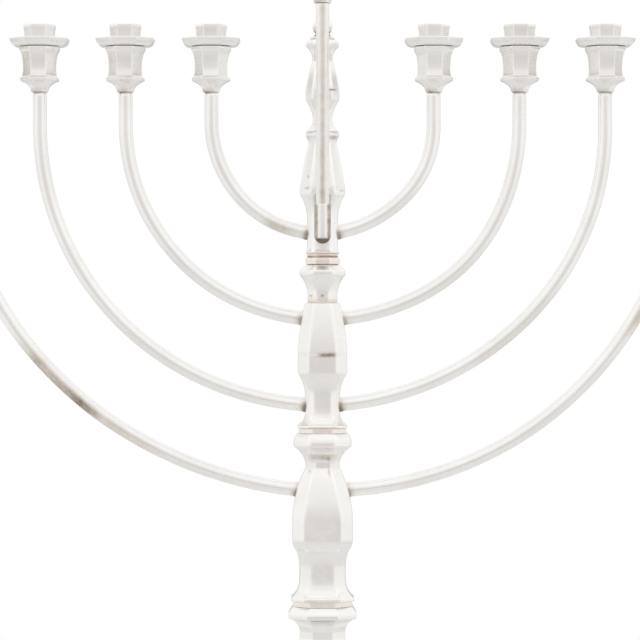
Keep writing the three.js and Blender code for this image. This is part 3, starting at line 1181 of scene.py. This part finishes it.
@dataclass(frozen=True)
class Baluster:
    """One octagonal baluster: skirt, waist, belly, sloping shoulder, neck, cove and rim.

    Heights whose names start with "rise" are from its bottom, and those that start with "drop" are
    from its top. The flats widen towards the belly, which keeps only a narrow canted face. heel and
    crown are how far the bottom and the top edge are broken, sunk is how far the bottom is let into
    the piece under it, and under_belly is the half width and height where the waist turns to belly.
    """

    node: str
    skirt: float
    waist: float
    rise_waist: float
    rise_waist_top: float
    belly: float
    rise_belly: float
    rise_belly_top: float
    under_belly: tuple[float, float]
    shoulder: tuple[float, float]
    shoulder_head: float
    neck: float
    drop_neck: float
    drop_neck_top: float
    rim: float
    drop_rim: float
    drop_rim_top: float
    top: float
    bore: float = TIE_BORE
    lip: float = 1.0
    heel: float = 0.15
    sunk: float = 0.0
    crown: float = 0.3
    slim_share: float = SLIM
    waist_share: float = 0.6
    waist_roundness: float = 0.35
    neck_roundness: float = 0.2
    belly_share: float = 0.57
    line_depth: float = 0.12
    # marks paint shade on the front, under creases and rims
    marks: tuple[Mark, ...] = ()

    def outline(self) -> Outline:
        """The baluster's outline, closed round its bore.

        Returns:
            The closed outline.
        """
        height, waist, rim = tall(self.node), self.waist, self.rim
        foot = Level(self.bore, -self.sunk, roundness=1)
        drawn = Outline(foot).run(
            (self.skirt - self.heel, -self.sunk, 0.1), (self.skirt, self.heel + 0.1 - self.sunk, 0.12),
            (self.skirt, self.lip, 0.3), share=self.waist_share,
        )
        drawn.run(
            (waist, self.rise_waist, 2.2, waist + 0.1, 0.75 * self.lip + 0.25 * self.rise_waist + 0.4, 14),
            (waist, self.rise_waist_top, 2.2), share=self.waist_share, roundness=self.waist_roundness,
        )
        under, turn = self.under_belly
        spread = (0.7 * waist + 0.3 * under, (self.rise_waist_top + turn) / 2)
        drawn.run((under, turn, 1.2, *spread, 14), share=self.waist_share)
        swell = (self.belly - 0.05, turn + 0.3 * (self.rise_belly - turn))
        drawn.run((self.belly, self.rise_belly, 0.6, *swell, 14), *self._crease(), share=self.belly_share)
        neck_foot, neck_top = height - self.drop_neck, height - self.drop_neck_top
        shoulder = (self.shoulder[0], height - self.shoulder[1])
        drawn.run((self.shoulder_head, neck_foot - 0.5, 0.3, *shoulder, 18), share=self.slim_share)
        cove = (0.7 * self.neck + 0.3 * rim, height - 0.65 * self.drop_rim - 0.35 * self.drop_neck_top)
        drawn.run(
            (self.neck, neck_foot, 0.4), (self.neck, neck_top, 0.9),
            (rim, height - self.drop_rim, 0.6, *cove, 16), (rim, height - self.drop_rim_top, 0.6),
            share=self.slim_share, roundness=self.neck_roundness,
        )
        drawn.run(
            (self.top, height - 0.1, 0.15, (rim + self.top) / 2 + 0.5, height - 0.45 * self.drop_rim_top, 8),
            (self.top - self.crown, height, 0.1), share=self.slim_share,
        )
        return drawn.line(Level(self.bore, height, roundness=1), 0.15).line(foot, 0.15)

    def _crease(self) -> tuple[tuple[float, ...], ...]:
        """The legs that end the belly: a fine cut line round it, or a plain soft edge.

        Returns:
            Legs as Outline.run takes them.
        """
        belly, rise = self.belly, self.rise_belly_top
        if self.line_depth <= 0:
            return ((belly, rise, 1.5),)
        bottom = (belly - self.line_depth, rise, 0.05)
        return (belly, rise - 0.3, 0.1), bottom, (belly - 0.05, rise + 0.3, 0.1)

    def _painted_shade(self, points: np.ndarray) -> np.ndarray:
        """Painted shade of every point under the baluster's marks, laid on as tarnish."""
        return sum(mark.cover(points) for mark in self.marks) + np.zeros(len(points))

    def half_at(self, height: float) -> float:
        """Half width of the outside at some height.

        Args:
            height: height above the baluster's bottom.

        Returns:
            The half width there.
        """
        rows = self.outline().rows(True)
        outside = rows[(rows[:, 3] < 0.9) & (rows[:, 0] > self.bore + 0.5)]
        order = np.argsort(outside[:, 1])
        return float(np.interp(height, outside[order, 1], outside[order, 0]))

    def build(self, finishes: Finishes) -> None:
        """Builds and dresses the baluster.

        Args:
            finishes: the stand's materials.
        """
        form = Turning(f"stem_{self.node}", self.outline(), bored=True, corner=2.2, seams=True, flat_steps=5)
        # the marks' painted shade goes into the tarnish mask
        form.stain = self._painted_shade
        finishes.place(form, self.node, Slot.SILVER)


@dataclass
class Stem:
    """The stack of balusters, joint rings and finial on one tie rod."""

    # each baluster's marks are painted shade on its front
    lower: Baluster = Baluster(
        "lower_baluster", skirt=14.6, lip=1.4, waist=10.8, rise_waist=10, rise_waist_top=17,
        belly=14, rise_belly=29, rise_belly_top=37.5, under_belly=(12.1, 23.3),
        shoulder=(13.9, 28.1), shoulder_head=8.05, neck=7.9, drop_neck=16.0, drop_neck_top=13.4,
        rim=13.5, drop_rim=6, drop_rim_top=4, top=11.7, belly_share=0.63, line_depth=0,
        marks=(
            Mark(3, 61.5, 1.3, 9, 0.55), Mark(-6, 60.2, 1.6, 2.2, 0.5), Mark(0, 66.8, 15, 3.4, 0.55),
        ),
    )
    middle: Baluster = Baluster(
        "middle_baluster", skirt=11.6, waist=8, rise_waist=8.2, rise_waist_top=16,
        belly=11.4, rise_belly=27.2, rise_belly_top=34.2, under_belly=(9.9, 23.2),
        shoulder=(10.9, 28.8), shoulder_head=8.2, neck=6.9, drop_neck=17.8, drop_neck_top=12.8,
        rim=10.7, drop_rim=5, drop_rim_top=3.2, top=7.2,
        marks=(
            Mark(2.2, 33.9, 9.8, 2.4, 0.8), Mark(-5.4, 61.4, 1.8, 1.8, 0.65), Mark(0, 61.4, 2.4, 1.8, 0.75),
        ),
    )
    upper: Baluster = Baluster(
        "upper_baluster", skirt=7.8, lip=0.6, waist=7.1, rise_waist=3.6, rise_waist_top=17.5,
        belly=10.5, rise_belly=29, rise_belly_top=30.2, under_belly=(9.4, 26),
        shoulder=(8.9, 16), shoulder_head=6.6, neck=6.5, drop_neck=5.4, drop_neck_top=4.4,
        rim=7.7, drop_rim=2, drop_rim_top=1, top=7.4, crown=0.1, belly_share=0.52,
        marks=(
            Mark(-7, 30, 2.4, 1.6), Mark(-6.6, 35.4, 1.8, 2.6, 0.5), Mark(9, 29, 2.6, 1.6, 0.5),
            Mark(5, 53.7, 5.4, 2.8, 0.56), Mark(-6.6, 53.6, 2.2, 2.6, 0.5),
        ),
    )
    knop: Baluster = Baluster(
        "top_knop", skirt=7.4, heel=0.04, sunk=0.2, lip=0.5, waist=4.5, rise_waist=5.8,
        rise_waist_top=7.4, belly=7.9, rise_belly=17, rise_belly_top=19.2, under_belly=(6.9, 13.8),
        shoulder=(6.7, 16), shoulder_head=4.9, neck=4.8, drop_neck=10, drop_neck_top=7.6,
        rim=7.6, drop_rim=3, drop_rim_top=1.6, top=6, belly_share=0.55,
        marks=(Mark(4.6, 19.2, 4.6, 1.1, 0.7),),
    )
    bore: float = TIE_BORE
    solder: float = 0.13

    def build(self, finishes: Finishes) -> None:
        """Builds and dresses the stem.

        Args:
            finishes: the stand's materials.
        """
        for baluster in (self.lower, self.middle, self.upper, self.knop):
            baluster.build(finishes)
        self._ring(finishes, "upper_ring", grooved=True)
        self._ring(finishes, "middle_ring")
        self._ring(finishes, "lower_ring")
        self._finial(finishes)
        for node in ("tie_rod", "tie_rod_washer", "tie_rod_nut"):
            finishes.keep(node, Slot.STEEL)

    def _ring(self, finishes: Finishes, node: str, grooved: bool = False) -> None:
        """A joint ring between two balusters, with a groove round its top if there is room for one.

        Args:
            finishes: the stand's materials.
            node: the frame node of the ring.
            grooved: whether it has the groove.
        """
        half, height = high_corner(node).x, tall(node) + 2 * self.solder
        outside: tuple[tuple[float, ...], ...] = ((half, height - 0.3, 0.15),)
        if grooved:
            outside = (
                (half - 0.05, 0.56 * height, 0.2, half + 0.1, 0.3 * height, 6),
                (half - 0.7, 0.64 * height, 0.1), (half - 0.75, height - 0.5, 0.1),
                (half - 0.3, height - 0.1, 0.1),
            )
        drawn = Outline(Level(self.bore, 0, roundness=1))
        drawn.run((half - 0.1, 0, 0.1), (half, 0.2, 0.15), *outside, (half - 0.4, height, 0.1), share=SLIM)
        drawn.run((self.bore, height, 0.1), (self.bore, 0, 0.1), roundness=1)
        form = Turning(f"stem_{node}", drawn, bored=True, reach=0.8, corner=2.2)
        form.stain = partial(self._groove_stain, height) if grooved else None
        finishes.place(form, node, Slot.RING, raised=-self.solder)

    @staticmethod
    def _groove_stain(height: float, points: np.ndarray) -> np.ndarray:
        """Tarnish along the groove of a ring of some height."""
        return 0.9 * fade(points[:, 2] / height - 0.7, 0.12)

    def _finial(self, finishes: Finishes) -> None:
        """The octagonal cap nut with its knob and tip.

        Args:
            finishes: the stand's materials.
        """
        height, half = tall("finial"), high_corner("finial").x
        drawn = Outline(Level(0, 4.9, roundness=1))
        drawn.run((self.bore, 4.9, 0.1), (self.bore, 0, 0.1), roundness=1)
        drawn.run(
            (half, 0, 0.15), (half, 0.9, 0.2), (3.2, 3.2, 0.2, 3.3, 1.3, 10), (4.6, 6.4, 0.2, 4.6, 3.5, 12),
            (1.5, height - 1.1, 0.3, 4.5, 9.0, 14), (0, height, 0.0, 0.9, height, 6),
        )
        form = Turning("stem_finial", drawn, corner=0.35, seams=True)
        finishes.place(form, "finial", Slot.SILVER)


# ---- Arms -------------------------------------------------------------------------------------------


@dataclass
class Arm:
    """One arm: drawn rod bent to a quarter circle, let into the stem and soldered there.

    sag is how far the middle of the bend strays outward, and sway how far its lower half strays out
    and its upper half in. A patch that darkens the underside is where it is on the bend, how far it
    spreads, both in degrees, and its strength. Both ends are darkened: tarnish at the joints, with
    painted shade that is heaviest on the underside and at the stem.
    """

    side: Side
    pair: int
    stem_half: float
    radius: float = 3.2
    tenon_radius: float = 2.0
    tenon_length: float = 4.2
    step: float = 1.8
    solder: float = 0.45
    sag: float = 0.0
    sway: float = 0.0
    root_tarnish_and_shade: float = 1.0
    patches: tuple[tuple[float, float, float], ...] = ()

    WOBBLE = 0.012
    WOBBLE_RATE = 0.06
    RIPPLE = 0.3
    RIPPLE_RATE = 0.02
    SOLDER_SPREAD = 1.0
    ROOT_SPREAD = 2.6
    CUP_TARNISH = 0.45
    CUP_SPREAD = 1.1
    UNDERSIDE = 220  # degrees round the rod, at the middle of the lower side, which takes painted shade

    @property
    def node(self) -> str:
        """The frame node that this arm stands for."""
        return f"arm_{self.side.word}_{self.pair}"

    def build(self, finishes: Finishes) -> None:
        """Bends the rod and dresses it.

        Args:
            finishes: the stand's materials.
        """
        low, high = low_corner(self.node), high_corner(self.node)
        outer = max(abs(low.x), abs(high.x)) - self.radius
        inner_end = min(abs(low.x), abs(high.x))
        shoulder = high.z - self.tenon_length
        centre_height = low.z + self.radius + outer
        start = math.asin(inner_end / outer)
        arc_length = outer * (math.pi / 2 - start)
        count = int((arc_length + shoulder - centre_height) / self.step)
        along = np.linspace(0, arc_length + shoulder - centre_height, count)
        angle = np.minimum(start + along / outer, math.pi / 2)
        reach = outer + self._unevenness(along, arc_length)
        x = reach * np.sin(angle)
        z = centre_height - reach * np.cos(angle) + np.maximum(along - arc_length, 0)
        centres = np.column_stack([x * self.side.value, np.zeros(count), z])
        wobble = self._drift(along * self.WOBBLE_RATE, 1.0, 3.0)
        from_stem = np.abs(x - self.stem_half)
        radii = self.radius * (1 + self.WOBBLE * wobble) + self.solder * fade(from_stem, self.SOLDER_SPREAD)
        # tarnish and painted shade where the arm meets the stem
        root = self.root_tarnish_and_shade * fade(from_stem, self.ROOT_SPREAD)
        ends = np.maximum(root, self.CUP_TARNISH * np.exp(-(along[-1] - along) / self.CUP_SPREAD))
        centres, radii, ends, angle = self._with_tenon(centres, radii, ends, angle)
        hollow = self._stained_and_shaded(ends, angle)
        if self.side is Side.LEFT:
            centres, radii, hollow = centres[::-1], radii[::-1], hollow[::-1]
        piece = Rod(f"rod_{self.node}", centres, radii, hollow).build()
        finishes.dress(piece, Slot.SILVER, Body.STAND.value, self.node)

    def _unevenness(self, along: np.ndarray, arc_length: float) -> np.ndarray:
        """How far the hand-bent rod strays outward from its circle: nothing at either end.

        Args:
            along: distance of each point from the start of the bend.
            arc_length: length of the whole bend.

        Returns:
            One distance for each point.
        """
        share = np.clip(along / arc_length, 0, 1)
        ripple = self.RIPPLE * self._drift(along * self.RIPPLE_RATE, 7.0, 5.0)
        whole = (self.sag + ripple) * np.sin(math.pi * share) ** 2
        return whole + self.sway * np.sin(2 * math.pi * share)

    def _drift(self, along: np.ndarray, by_pair: float, by_side: float) -> np.ndarray:
        """A slow noise along the rod that differs from arm to arm.

        Args:
            along: place of each point in the noise.
            by_pair: step through the noise from one pair of arms to the next.
            by_side: step through the noise from the stem to each side.

        Returns:
            One value from -1 to 1 for each point.
        """
        place = (self.pair * by_pair, self.side.value * by_side)
        return np.array([noise.noise((m, *place)) for m in along])

    def _stained_and_shaded(self, ends: np.ndarray, angle: np.ndarray) -> np.ndarray:
        """Darkening of every point: tarnish and painted shade at both ends, heaviest on the underside, and
        patches along the underside.

        Args:
            ends: tarnish that the ends give each point along the rod.
            angle: where each point is on the bend, in radians.

        Returns:
            One row for each point along the rod, with a value for each of its sides.
        """
        turn = np.linspace(0, 2 * math.pi, Rod.SIDES, endpoint=False)
        # under darkens the lower side of the rod as painted shade
        under = np.clip(0.25 + 0.95 * np.cos(turn - math.radians(self.UNDERSIDE)), 0, 1)
        along = np.zeros(len(angle))
        for centre, spread, strength in self.patches:
            along += strength * np.exp(-(((np.degrees(angle) - centre) / spread) ** 4))
        return np.clip(np.maximum(ends[:, None] * (0.22 + 0.55 * under), along[:, None] * under), 0, 1)

    def _with_tenon(
        self, centres: np.ndarray, radii: np.ndarray, ends: np.ndarray, angle: np.ndarray
    ) -> tuple[np.ndarray, np.ndarray, np.ndarray, np.ndarray]:
        """Adds the turned-down end that holds the cup, with a small chamfer at its tip.

        Args:
            centres: centre of the rod at each point.
            radii: its radius there.
            ends: the tarnish there.
            angle: where the point is on the bend.

        Returns:
            The same four, with the points of the tenon added.
        """
        extra = np.tile(centres[-1], (3, 1))
        extra[:, 2] += np.array([0.02, self.tenon_length - 0.5, self.tenon_length])
        widths = np.array([self.tenon_radius, self.tenon_radius, self.tenon_radius - 0.5])
        added = (extra, widths, np.full(3, 0.5), np.full(3, math.pi / 2))
        return tuple(np.concatenate(pair) for pair in zip((centres, radii, ends, angle), added))


# ---- Lights -----------------------------------------------------------------------------------------


@dataclass
class CandleLight:
    """An octagonal cup and the nozzle that lifts out of it."""

    suffix: str
    cup_body: str
    nozzle_body: str
    tenon_bore: float = 2.3
    tube: float = 6.2
    tube_length: float = 9.0
    tube_bore: float = 6.5
    bore_depth: float = 10.0
    candle: float = 5.0
    floor: float = 2.4
    pan: float = 13.5

    FOOT_TARNISH = 0.62

    def build(self, finishes: Finishes) -> None:
        """Builds and dresses the cup and the nozzle.

        Args:
            finishes: the stand's materials.
        """
        cup, nozzle = f"cup_{self.suffix}", f"nozzle_{self.suffix}"
        form = Turning(f"light_{cup}", self._cup_outline(), corner=0.45, reach=1.7, seams=True)
        form.stain = self._foot_stain
        finishes.place(form, cup, Slot.SILVER, self.cup_body)
        form = Turning(f"light_{nozzle}", self._nozzle_outline())
        finishes.place(form, nozzle, Slot.NOZZLE, self.nozzle_body, self.tube_length)

    def _foot_stain(self, points: np.ndarray) -> np.ndarray:
        """Tarnish round the solder where the cup stands on its arm."""
        uneven = 0.75 + 0.25 * np.sin(2 * np.arctan2(points[:, 1], points[:, 0]) + points[0, 0])
        return self.FOOT_TARNISH * uneven * fade(points[:, 2], 2.2)

    def _cup_outline(self) -> Outline:
        """Spreading foot, lower rim, waist and upper rim, with a bore from each end.

        Returns:
            The outline.
        """
        height, bore = tall(f"cup_{self.suffix}"), self.tube_bore
        bottom = height - self.bore_depth
        drawn = Outline(Level(0, 4.5, roundness=1))
        drawn.run((self.tenon_bore, 4.5, 0.1), (self.tenon_bore, 0, 0.1), roundness=1)
        drawn.line(Level(3.8, 0, SLIM, 0.6), 0.12).line(Level(3.9, 0.4, SLIM, 0.4), 0.15)
        drawn.run(
            (8.8, 5.3, 0.2, 4.5, 3.7, 16), (8.8, 6.4, 0.25), (8.2, 6.8, 0.15),
            (7.4, 10.8, 0.2, 7.45, 7.5, 12), (9.0, height - 1.7, 0.2, 7.5, 17.4, 16),
            (9.2, height - 1.3, 0.15), (9.2, height - 0.2, 0.2), (8.9, height, 0.12), share=SLIM,
        )
        drawn.run((bore + 0.3, height, 0.1), (bore, height - 0.3, 0.1), (bore, bottom, 0.1), roundness=1)
        return drawn.line(Level(0, bottom, roundness=1), 0.0)

    def _nozzle_outline(self) -> Outline:
        """Tube, drip pan and collar round the candle bore. Height 0 is the cup's top face.

        Returns:
            The outline.
        """
        tube, length, bore = self.tube, self.tube_length, self.candle
        top, bottom = tall(f"nozzle_{self.suffix}") - length, self.floor - length
        drawn = Outline(Level(0, -length, roundness=1))
        drawn.run((tube - 0.4, -length, 0.15), (tube, 0.5 - length, 0.15), (tube, 0.15, 0.1), roundness=1)
        drawn.run(
            (10.4, 0.15, 0.5), (13.35, 3.0, 0.2, 12.7, 0.5, 14), (self.pan, 3.3, 0.12),
            (self.pan, 3.7, 0.15), (13.0, 3.95, 0.2), (12.5, 3.75, 0.2), (9.6, 1.25, 0.5, 11.6, 1.5, 12),
            (7.7, 1.25, 0.3), (6.8, 4.2, 0.2, 6.85, 1.9, 10), (7.2, top - 1.7, 0.15, 6.85, top - 2.6, 8),
            (7.3, top - 1.3, 0.12), (7.3, top - 0.2, 0.2), (7.1, top, 0.12), share=SLIM,
        )
        drawn.run((bore + 0.35, top, 0.1), (bore, top - 0.4, 0.12), (bore, bottom, 0.2), roundness=1)
        return drawn.line(Level(0, bottom, roundness=1), 0.0)


@dataclass
class ServantLight:
    """The light that lights the others: a long rod in a round-bottomed socket, on a small bracket."""

    rod: float = 3.0
    socket: float = 3.9
    wall: float = 0.65
    tenon: float = 2.0
    tenon_length: float = 4.2

    # strength of the painted shade down the socket's sides
    SIDE_SHADE = 0.7
    # strength of the painted dark reflection down the rod's front, and how much it grows towards the bottom
    ROD_PAINTED_REFLECTION = 0.48
    ROD_PAINTED_REFLECTION_BELOW = 0.12
    BRACKET_GAP = 0.12
    # painted shade over the whole bracket, in the gap between the socket and the stem
    BRACKET_SHADE = 0.75
    BRACKET_ROUNDING = 0.22

    def build(self, finishes: Finishes) -> None:
        """Builds and dresses the socket, the bracket and the rod.

        Args:
            finishes: the stand's materials.
        """
        socket = Turning("servant_tube", self._socket_outline(), stain=self._socket_painted_shade)
        finishes.place(socket, "servant_socket", Slot.SILVER)
        finishes.dress(self._bracket(), Slot.SILVER, Body.STAND.value, "servant_bracket")
        rod = Turning("servant_stick", self._rod_outline(), reach=1.2, stain=self._rod_painted_reflection)
        finishes.place(rod, "servant_rod", Slot.SILVER, Body.SERVANT.value)

    def _socket_painted_shade(self, points: np.ndarray) -> np.ndarray:
        """Painted shade down the socket's sides and back, where it stands off the stem, and a painted shadow
        under its round tip.

        Args:
            points: points in the outline's own coordinates, one to a row.

        Returns:
            One value from 0 to 1 for each point.
        """
        x, y = np.abs(points[:, 0]) / self.socket, points[:, 1] / self.socket
        # painted shade on the sides and back, and painted shadow under the tip
        sides = self.SIDE_SHADE * np.clip(np.maximum((x - 0.36) / 0.26, y * 3), 0, 1)
        tip = np.clip((0.85 * self.socket - points[:, 2]) / 1.2, 0, 1) * np.clip(0.5 - 1.3 * y, 0, 1)
        return np.maximum(sides * (points[:, 2] > 0.5 * self.socket), tip)

    def _rod_painted_reflection(self, points: np.ndarray) -> np.ndarray:
        """A painted dark reflection in a stripe down the front of the rod, darker towards its bottom.

        Args:
            points: points in the outline's own coordinates, one to a row.

        Returns:
            One value from 0 to 1 for each point.
        """
        # painted dark reflection on the front of the rod
        front = fade(points[:, 0], 0.85 * self.rod) * (points[:, 1] < 0)
        low_down = np.clip(1 - points[:, 2] / 70, 0, 1)
        return (self.ROD_PAINTED_REFLECTION + self.ROD_PAINTED_REFLECTION_BELOW * low_down) * front

    def _socket_outline(self) -> Outline:
        """A thimble with a rolled mouth.

        Returns:
            The outline.
        """
        height, r, inner = tall("servant_socket"), self.socket, self.socket - self.wall
        drawn = Outline(Level(0, 0, roundness=1)).arc((0, r), Level(r - 0.1, r, roundness=1), steps=16)
        return drawn.run(
            (r - 0.1, height - 1.4, 0.2), (r, height - 1.1, 0.15), (r, height - 0.2, 0.2),
            (r - 0.2, height, 0.1), (inner + 0.15, height, 0.1), (inner, height - 0.3, 0.1),
            (inner, self.wall + inner, 0.0), (0, self.wall, 0.0, inner, self.wall, 12), roundness=1,
        )

    def _rod_outline(self) -> Outline:
        """A straight rod with a round lower end and a turned-down top.

        Returns:
            The outline.
        """
        height, r, tenon = tall("servant_rod"), self.rod, self.tenon
        shoulder = height - self.tenon_length
        drawn = Outline(Level(0, 0, roundness=1)).arc((0, r), Level(r, r, roundness=1), steps=14)
        return drawn.run(
            (r, shoulder - 0.1, 0.1), (r - 0.1, shoulder, 0.05), (tenon, shoulder, 0.1),
            (tenon, height - 0.4, 0.1), (tenon - 0.4, height, 0.1), (0, height, 0.0), roundness=1,
        )

    def _bracket(self) -> bpy.types.Object:
        """A small cast bracket, hollowed above and below where it leaves the stem, and darkened all over
        with painted shade.

        Returns:
            The new piece.
        """
        low, high = low_corner("servant_bracket"), high_corner("servant_bracket")
        centre, radius = foot_point("servant_socket"), self.socket + self.BRACKET_GAP
        levels, depths = np.linspace(0, 1, 15), np.linspace(0, 1, 9)
        points, faces = [], []
        for u in levels:
            pinch = 1 - 0.22 * math.sin(math.pi * u)
            for side in (-1, 1):
                for v in depths:
                    half = (high.x - low.x) / 2 * (1 - (0.3 * pinch) * math.sin(math.pi * v))
                    front = centre.y + math.sqrt(max(radius**2 - half**2, 0))
                    y = high.y + (front - high.y) * v
                    waist = 0.14 * math.sin(math.pi * v) * (1 - 2 * u)
                    z = low.z + (high.z - low.z) * (u + waist)
                    points.append((side * half, y, z))
        across = len(depths)
        row = 2 * across
        top = (len(levels) - 1) * row
        for a in range(0, top, row):
            b = a + row
            for k in range(across - 1):
                m = k + across
                faces.append((a + k, b + k, b + k + 1, a + k + 1))
                faces.append((a + m, a + m + 1, b + m + 1, b + m))
            faces.append((a, a + across, b + across, b))
            faces.append((a + across - 1, b + across - 1, b + row - 1, a + row - 1))
        for k in range(across - 1):
            m = k + across
            faces.append((k, k + 1, m + 1, m))
            faces.append((top + k, top + m, top + m + 1, top + k + 1))
        # the whole bracket takes painted shade
        hollow = np.full(len(points), self.BRACKET_SHADE)
        piece = mesh_piece("servant_arm", np.array(points), faces, hollow, np.zeros(len(points)))
        shape = bmesh.new()
        shape.from_mesh(piece.data)
        bmesh.ops.recalc_face_normals(shape, faces=shape.faces)
        sharp = [e for e in shape.edges if len(e.link_faces) == 2 and e.calc_face_angle() > math.radians(50)]
        round_by = self.BRACKET_ROUNDING * MM
        bmesh.ops.bevel(shape, geom=sharp, offset=round_by, segments=2, affect="EDGES", clamp_overlap=True)
        shape.to_mesh(piece.data)
        shape.free()
        piece.data.polygons.foreach_set("use_smooth", [True] * len(piece.data.polygons))
        return piece


# ---- Studio -----------------------------------------------------------------------------------------


@dataclass
class Studio:
    """White tent, soft lights, pale floor and a level camera with a long lens."""

    distance: float = 1.3
    half_width: float = 0.1493
    aim_height: float = 0.20787
    aim_side: float = -0.00117
    floor_radius: float = 0.46
    sensor: float = 36.0

    def build(self) -> None:
        """Makes the camera, the world, the lights and the floor."""
        self._camera()
        self._world()
        self._lights()
        self._floor()

    def _camera(self) -> None:
        """A level camera looking along +Y."""
        data = bpy.data.cameras.new("camera")
        data.sensor_width = self.sensor
        data.lens = data.sensor_width / 2 * self.distance / self.half_width
        data.clip_start, data.clip_end = 0.05, 20.0
        camera = bpy.data.objects.new("camera", data)
        camera.location = (self.aim_side, -self.distance, self.aim_height)
        camera.rotation_euler = (math.pi / 2, 0, 0)
        bpy.context.scene.collection.objects.link(camera)
        bpy.context.scene.camera = camera

    def _world(self) -> None:
        """White to the eye, with soft darker zones for the metal to mirror."""
        world = bpy.data.worlds.new("white_tent")
        world.use_nodes = True
        bpy.context.scene.world = world
        net = NodeNet(world.node_tree)
        background = world.node_tree.nodes["Background"]
        direction = net.node("ShaderNodeTexCoord").outputs["Generated"]
        split = net.node("ShaderNodeSeparateXYZ")
        net.feed(split.inputs[0], direction)
        height = split.outputs["Z"]
        ramp = net.node("ShaderNodeValToRGB")
        net.feed(ramp.inputs[0], net.math("MULTIPLY_ADD", height, 0.5, 0.5))
        stops = (
            (-1.0, (0.86, 0.85, 0.84)),
            (-0.4, (0.76, 0.75, 0.74)),
            (-0.05, (0.8, 0.79, 0.78)),
            (0.06, (0.87, 0.865, 0.86)),
            (0.35, (0.97, 0.97, 0.965)),
            (1.0, (1.04, 1.04, 1.04)),
        )
        while len(ramp.color_ramp.elements) < len(stops):
            ramp.color_ramp.elements.new(0.5)
        for element, (z, colour) in zip(ramp.color_ramp.elements, stops):
            element.position = 0.5 + 0.5 * z
            element.color = (*colour, 1.0)
        room = ramp.outputs[0]
        patches = net.remap(net.noise(direction, 2.6, 2.0, 0.5), 0.45, 0.68, 0.0, 0.2)
        room = net.blend(patches, room, (0.7, 0.67, 0.65))
        beside = net.remap(net.math("ABSOLUTE", split.outputs["X"]), 0.35, 0.85, 0.0, 0.7)
        room = net.blend(beside, room, (1.02, 1.02, 1.01))
        across = net.math("POWER", split.outputs["X"], 2.0)
        above = net.math("POWER", net.math("ADD", height, 0.06), 2.0)
        for facing, wide, high, reach, strength, colour in (
            ("LESS_THAN", 1.3, 6.0, 0.6, 0.27, (0.46, 0.36, 0.32)),
            ("GREATER_THAN", 0.8, 2.6, 0.75, 0.42, (0.36, 0.34, 0.32)),
        ):
            away = net.math("MULTIPLY_ADD", across, wide, net.math("MULTIPLY", above, high))
            dark = net.remap(away, 0.0, reach, strength, 0.0)
            dark = net.math("MULTIPLY", net.math(facing, split.outputs["Y"], 0.0), dark)
            room = net.blend(dark, room, colour)
        seen = net.node("ShaderNodeLightPath").outputs["Is Camera Ray"]
        net.feed(background.inputs["Color"], net.blend(seen, room, (1.0, 1.0, 1.0)))
        net.feed(background.inputs["Strength"], 1.0)

    def _lights(self) -> None:
        """Soft boxes on both sides, above and over the camera, hardly brighter than the tent."""
        boxes = (
            ("box_left", (-1.1, -0.3, 1.15), 0.7, 0.16, (1.0, 0.72, 0.42)),
            ("box_right", (1.1, -0.3, 1.15), 0.7, 0.16, (1.0, 0.72, 0.42)),
            ("box_top", (0.0, 0.1, 1.7), 1.2, 0.08, (1.0, 1.0, 1.0)),
            ("box_front", (0.0, -1.1, 1.25), 0.35, 0.14, (1.0, 0.85, 0.7)),
        )
        aim = Vector((0, 0, 0.2))
        for name, place, size, brightness, colour in boxes:
            data = bpy.data.lights.new(name, "AREA")
            data.shape = "DISK"
            data.size = size
            data.energy = brightness * math.pi * math.pi * (size / 2) ** 2
            data.color = colour
            light = bpy.data.objects.new(name, data)
            light.location = place
            light.rotation_euler = (aim - Vector(place)).to_track_quat("-Z", "Y").to_euler()
            bpy.context.scene.collection.objects.link(light)

    def _floor(self) -> None:
        """A round pale board under the stand."""
        shape = bmesh.new()
        bmesh.ops.create_circle(shape, cap_ends=True, radius=self.floor_radius, segments=128)
        mesh = bpy.data.meshes.new("floor")
        shape.to_mesh(mesh)
        shape.free()
        mesh.materials.append(FloorFinish("white_board").material())
        floor = bpy.data.objects.new("floor", mesh)
        bpy.context.scene.collection.objects.link(floor)


# ---- Whole stand ------------------------------------------------------------------------------------


def build_arms_and_lights(stem: Stem, finishes: Finishes) -> None:
    """Builds every arm with its cup and nozzle.

    Args:
        stem: the stem that the arms are soldered to.
        finishes: the stand's materials.
    """
    joined = {1: stem.upper, 2: stem.middle, 3: stem.middle, 4: stem.lower}
    bent = {
        Side.LEFT: ((0.0, 0.1), (0.4, 0.0), (0.3, -0.2), (0.0, -1.1)),
        Side.RIGHT: ((-0.1, -0.4), (1.5, 0.0), (-0.1, -0.6), (0.6, 0.5)),
    }
    # patches that darken the undersides of some arms
    underside_patches = {
        (Side.LEFT, 1): ((22, 10, 0.5),),
        (Side.LEFT, 4): ((46, 8, 0.6), (33, 9, 0.4)),
        (Side.RIGHT, 3): ((42, 14, 0.25),),
        (Side.RIGHT, 4): ((60, 6, 0.5),),
    }
    # stronger tarnish and painted shade at the roots of the third pair
    root_tarnish_and_shade = {3: 1.15}
    for side in Side:
        for (pair, baluster), (sag, sway) in zip(joined.items(), bent[side]):
            suffix = f"{side.word}_{pair}"
            height = low_corner(f"arm_{suffix}").z + Arm.radius - low_corner(baluster.node).z
            arm = Arm(
                side, pair, baluster.half_at(height), sag=sag, sway=sway,
                root_tarnish_and_shade=root_tarnish_and_shade.get(pair, 1.0), patches=underside_patches.get((side, pair), ()),
            )
            arm.build(finishes)
            CandleLight(suffix, Body.STAND.value, f"nozzle_{suffix}").build(finishes)


def main() -> None:
    """Builds the stand and its studio."""
    logging.basicConfig(level=logging.INFO, format="%(name)s: %(message)s")
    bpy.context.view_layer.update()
    Studio().build()
    finishes = Finishes()
    Foot().build(finishes)
    stem = Stem()
    stem.build(finishes)
    build_arms_and_lights(stem, finishes)
    ServantLight().build(finishes)
    CandleLight("servant", Body.SERVANT.value, Body.SERVANT_NOZZLE.value).build(finishes)
    bpy.context.scene.view_settings.view_transform = "Standard"
    bpy.context.view_layer.update()


if __name__ == "__main__":
    main()
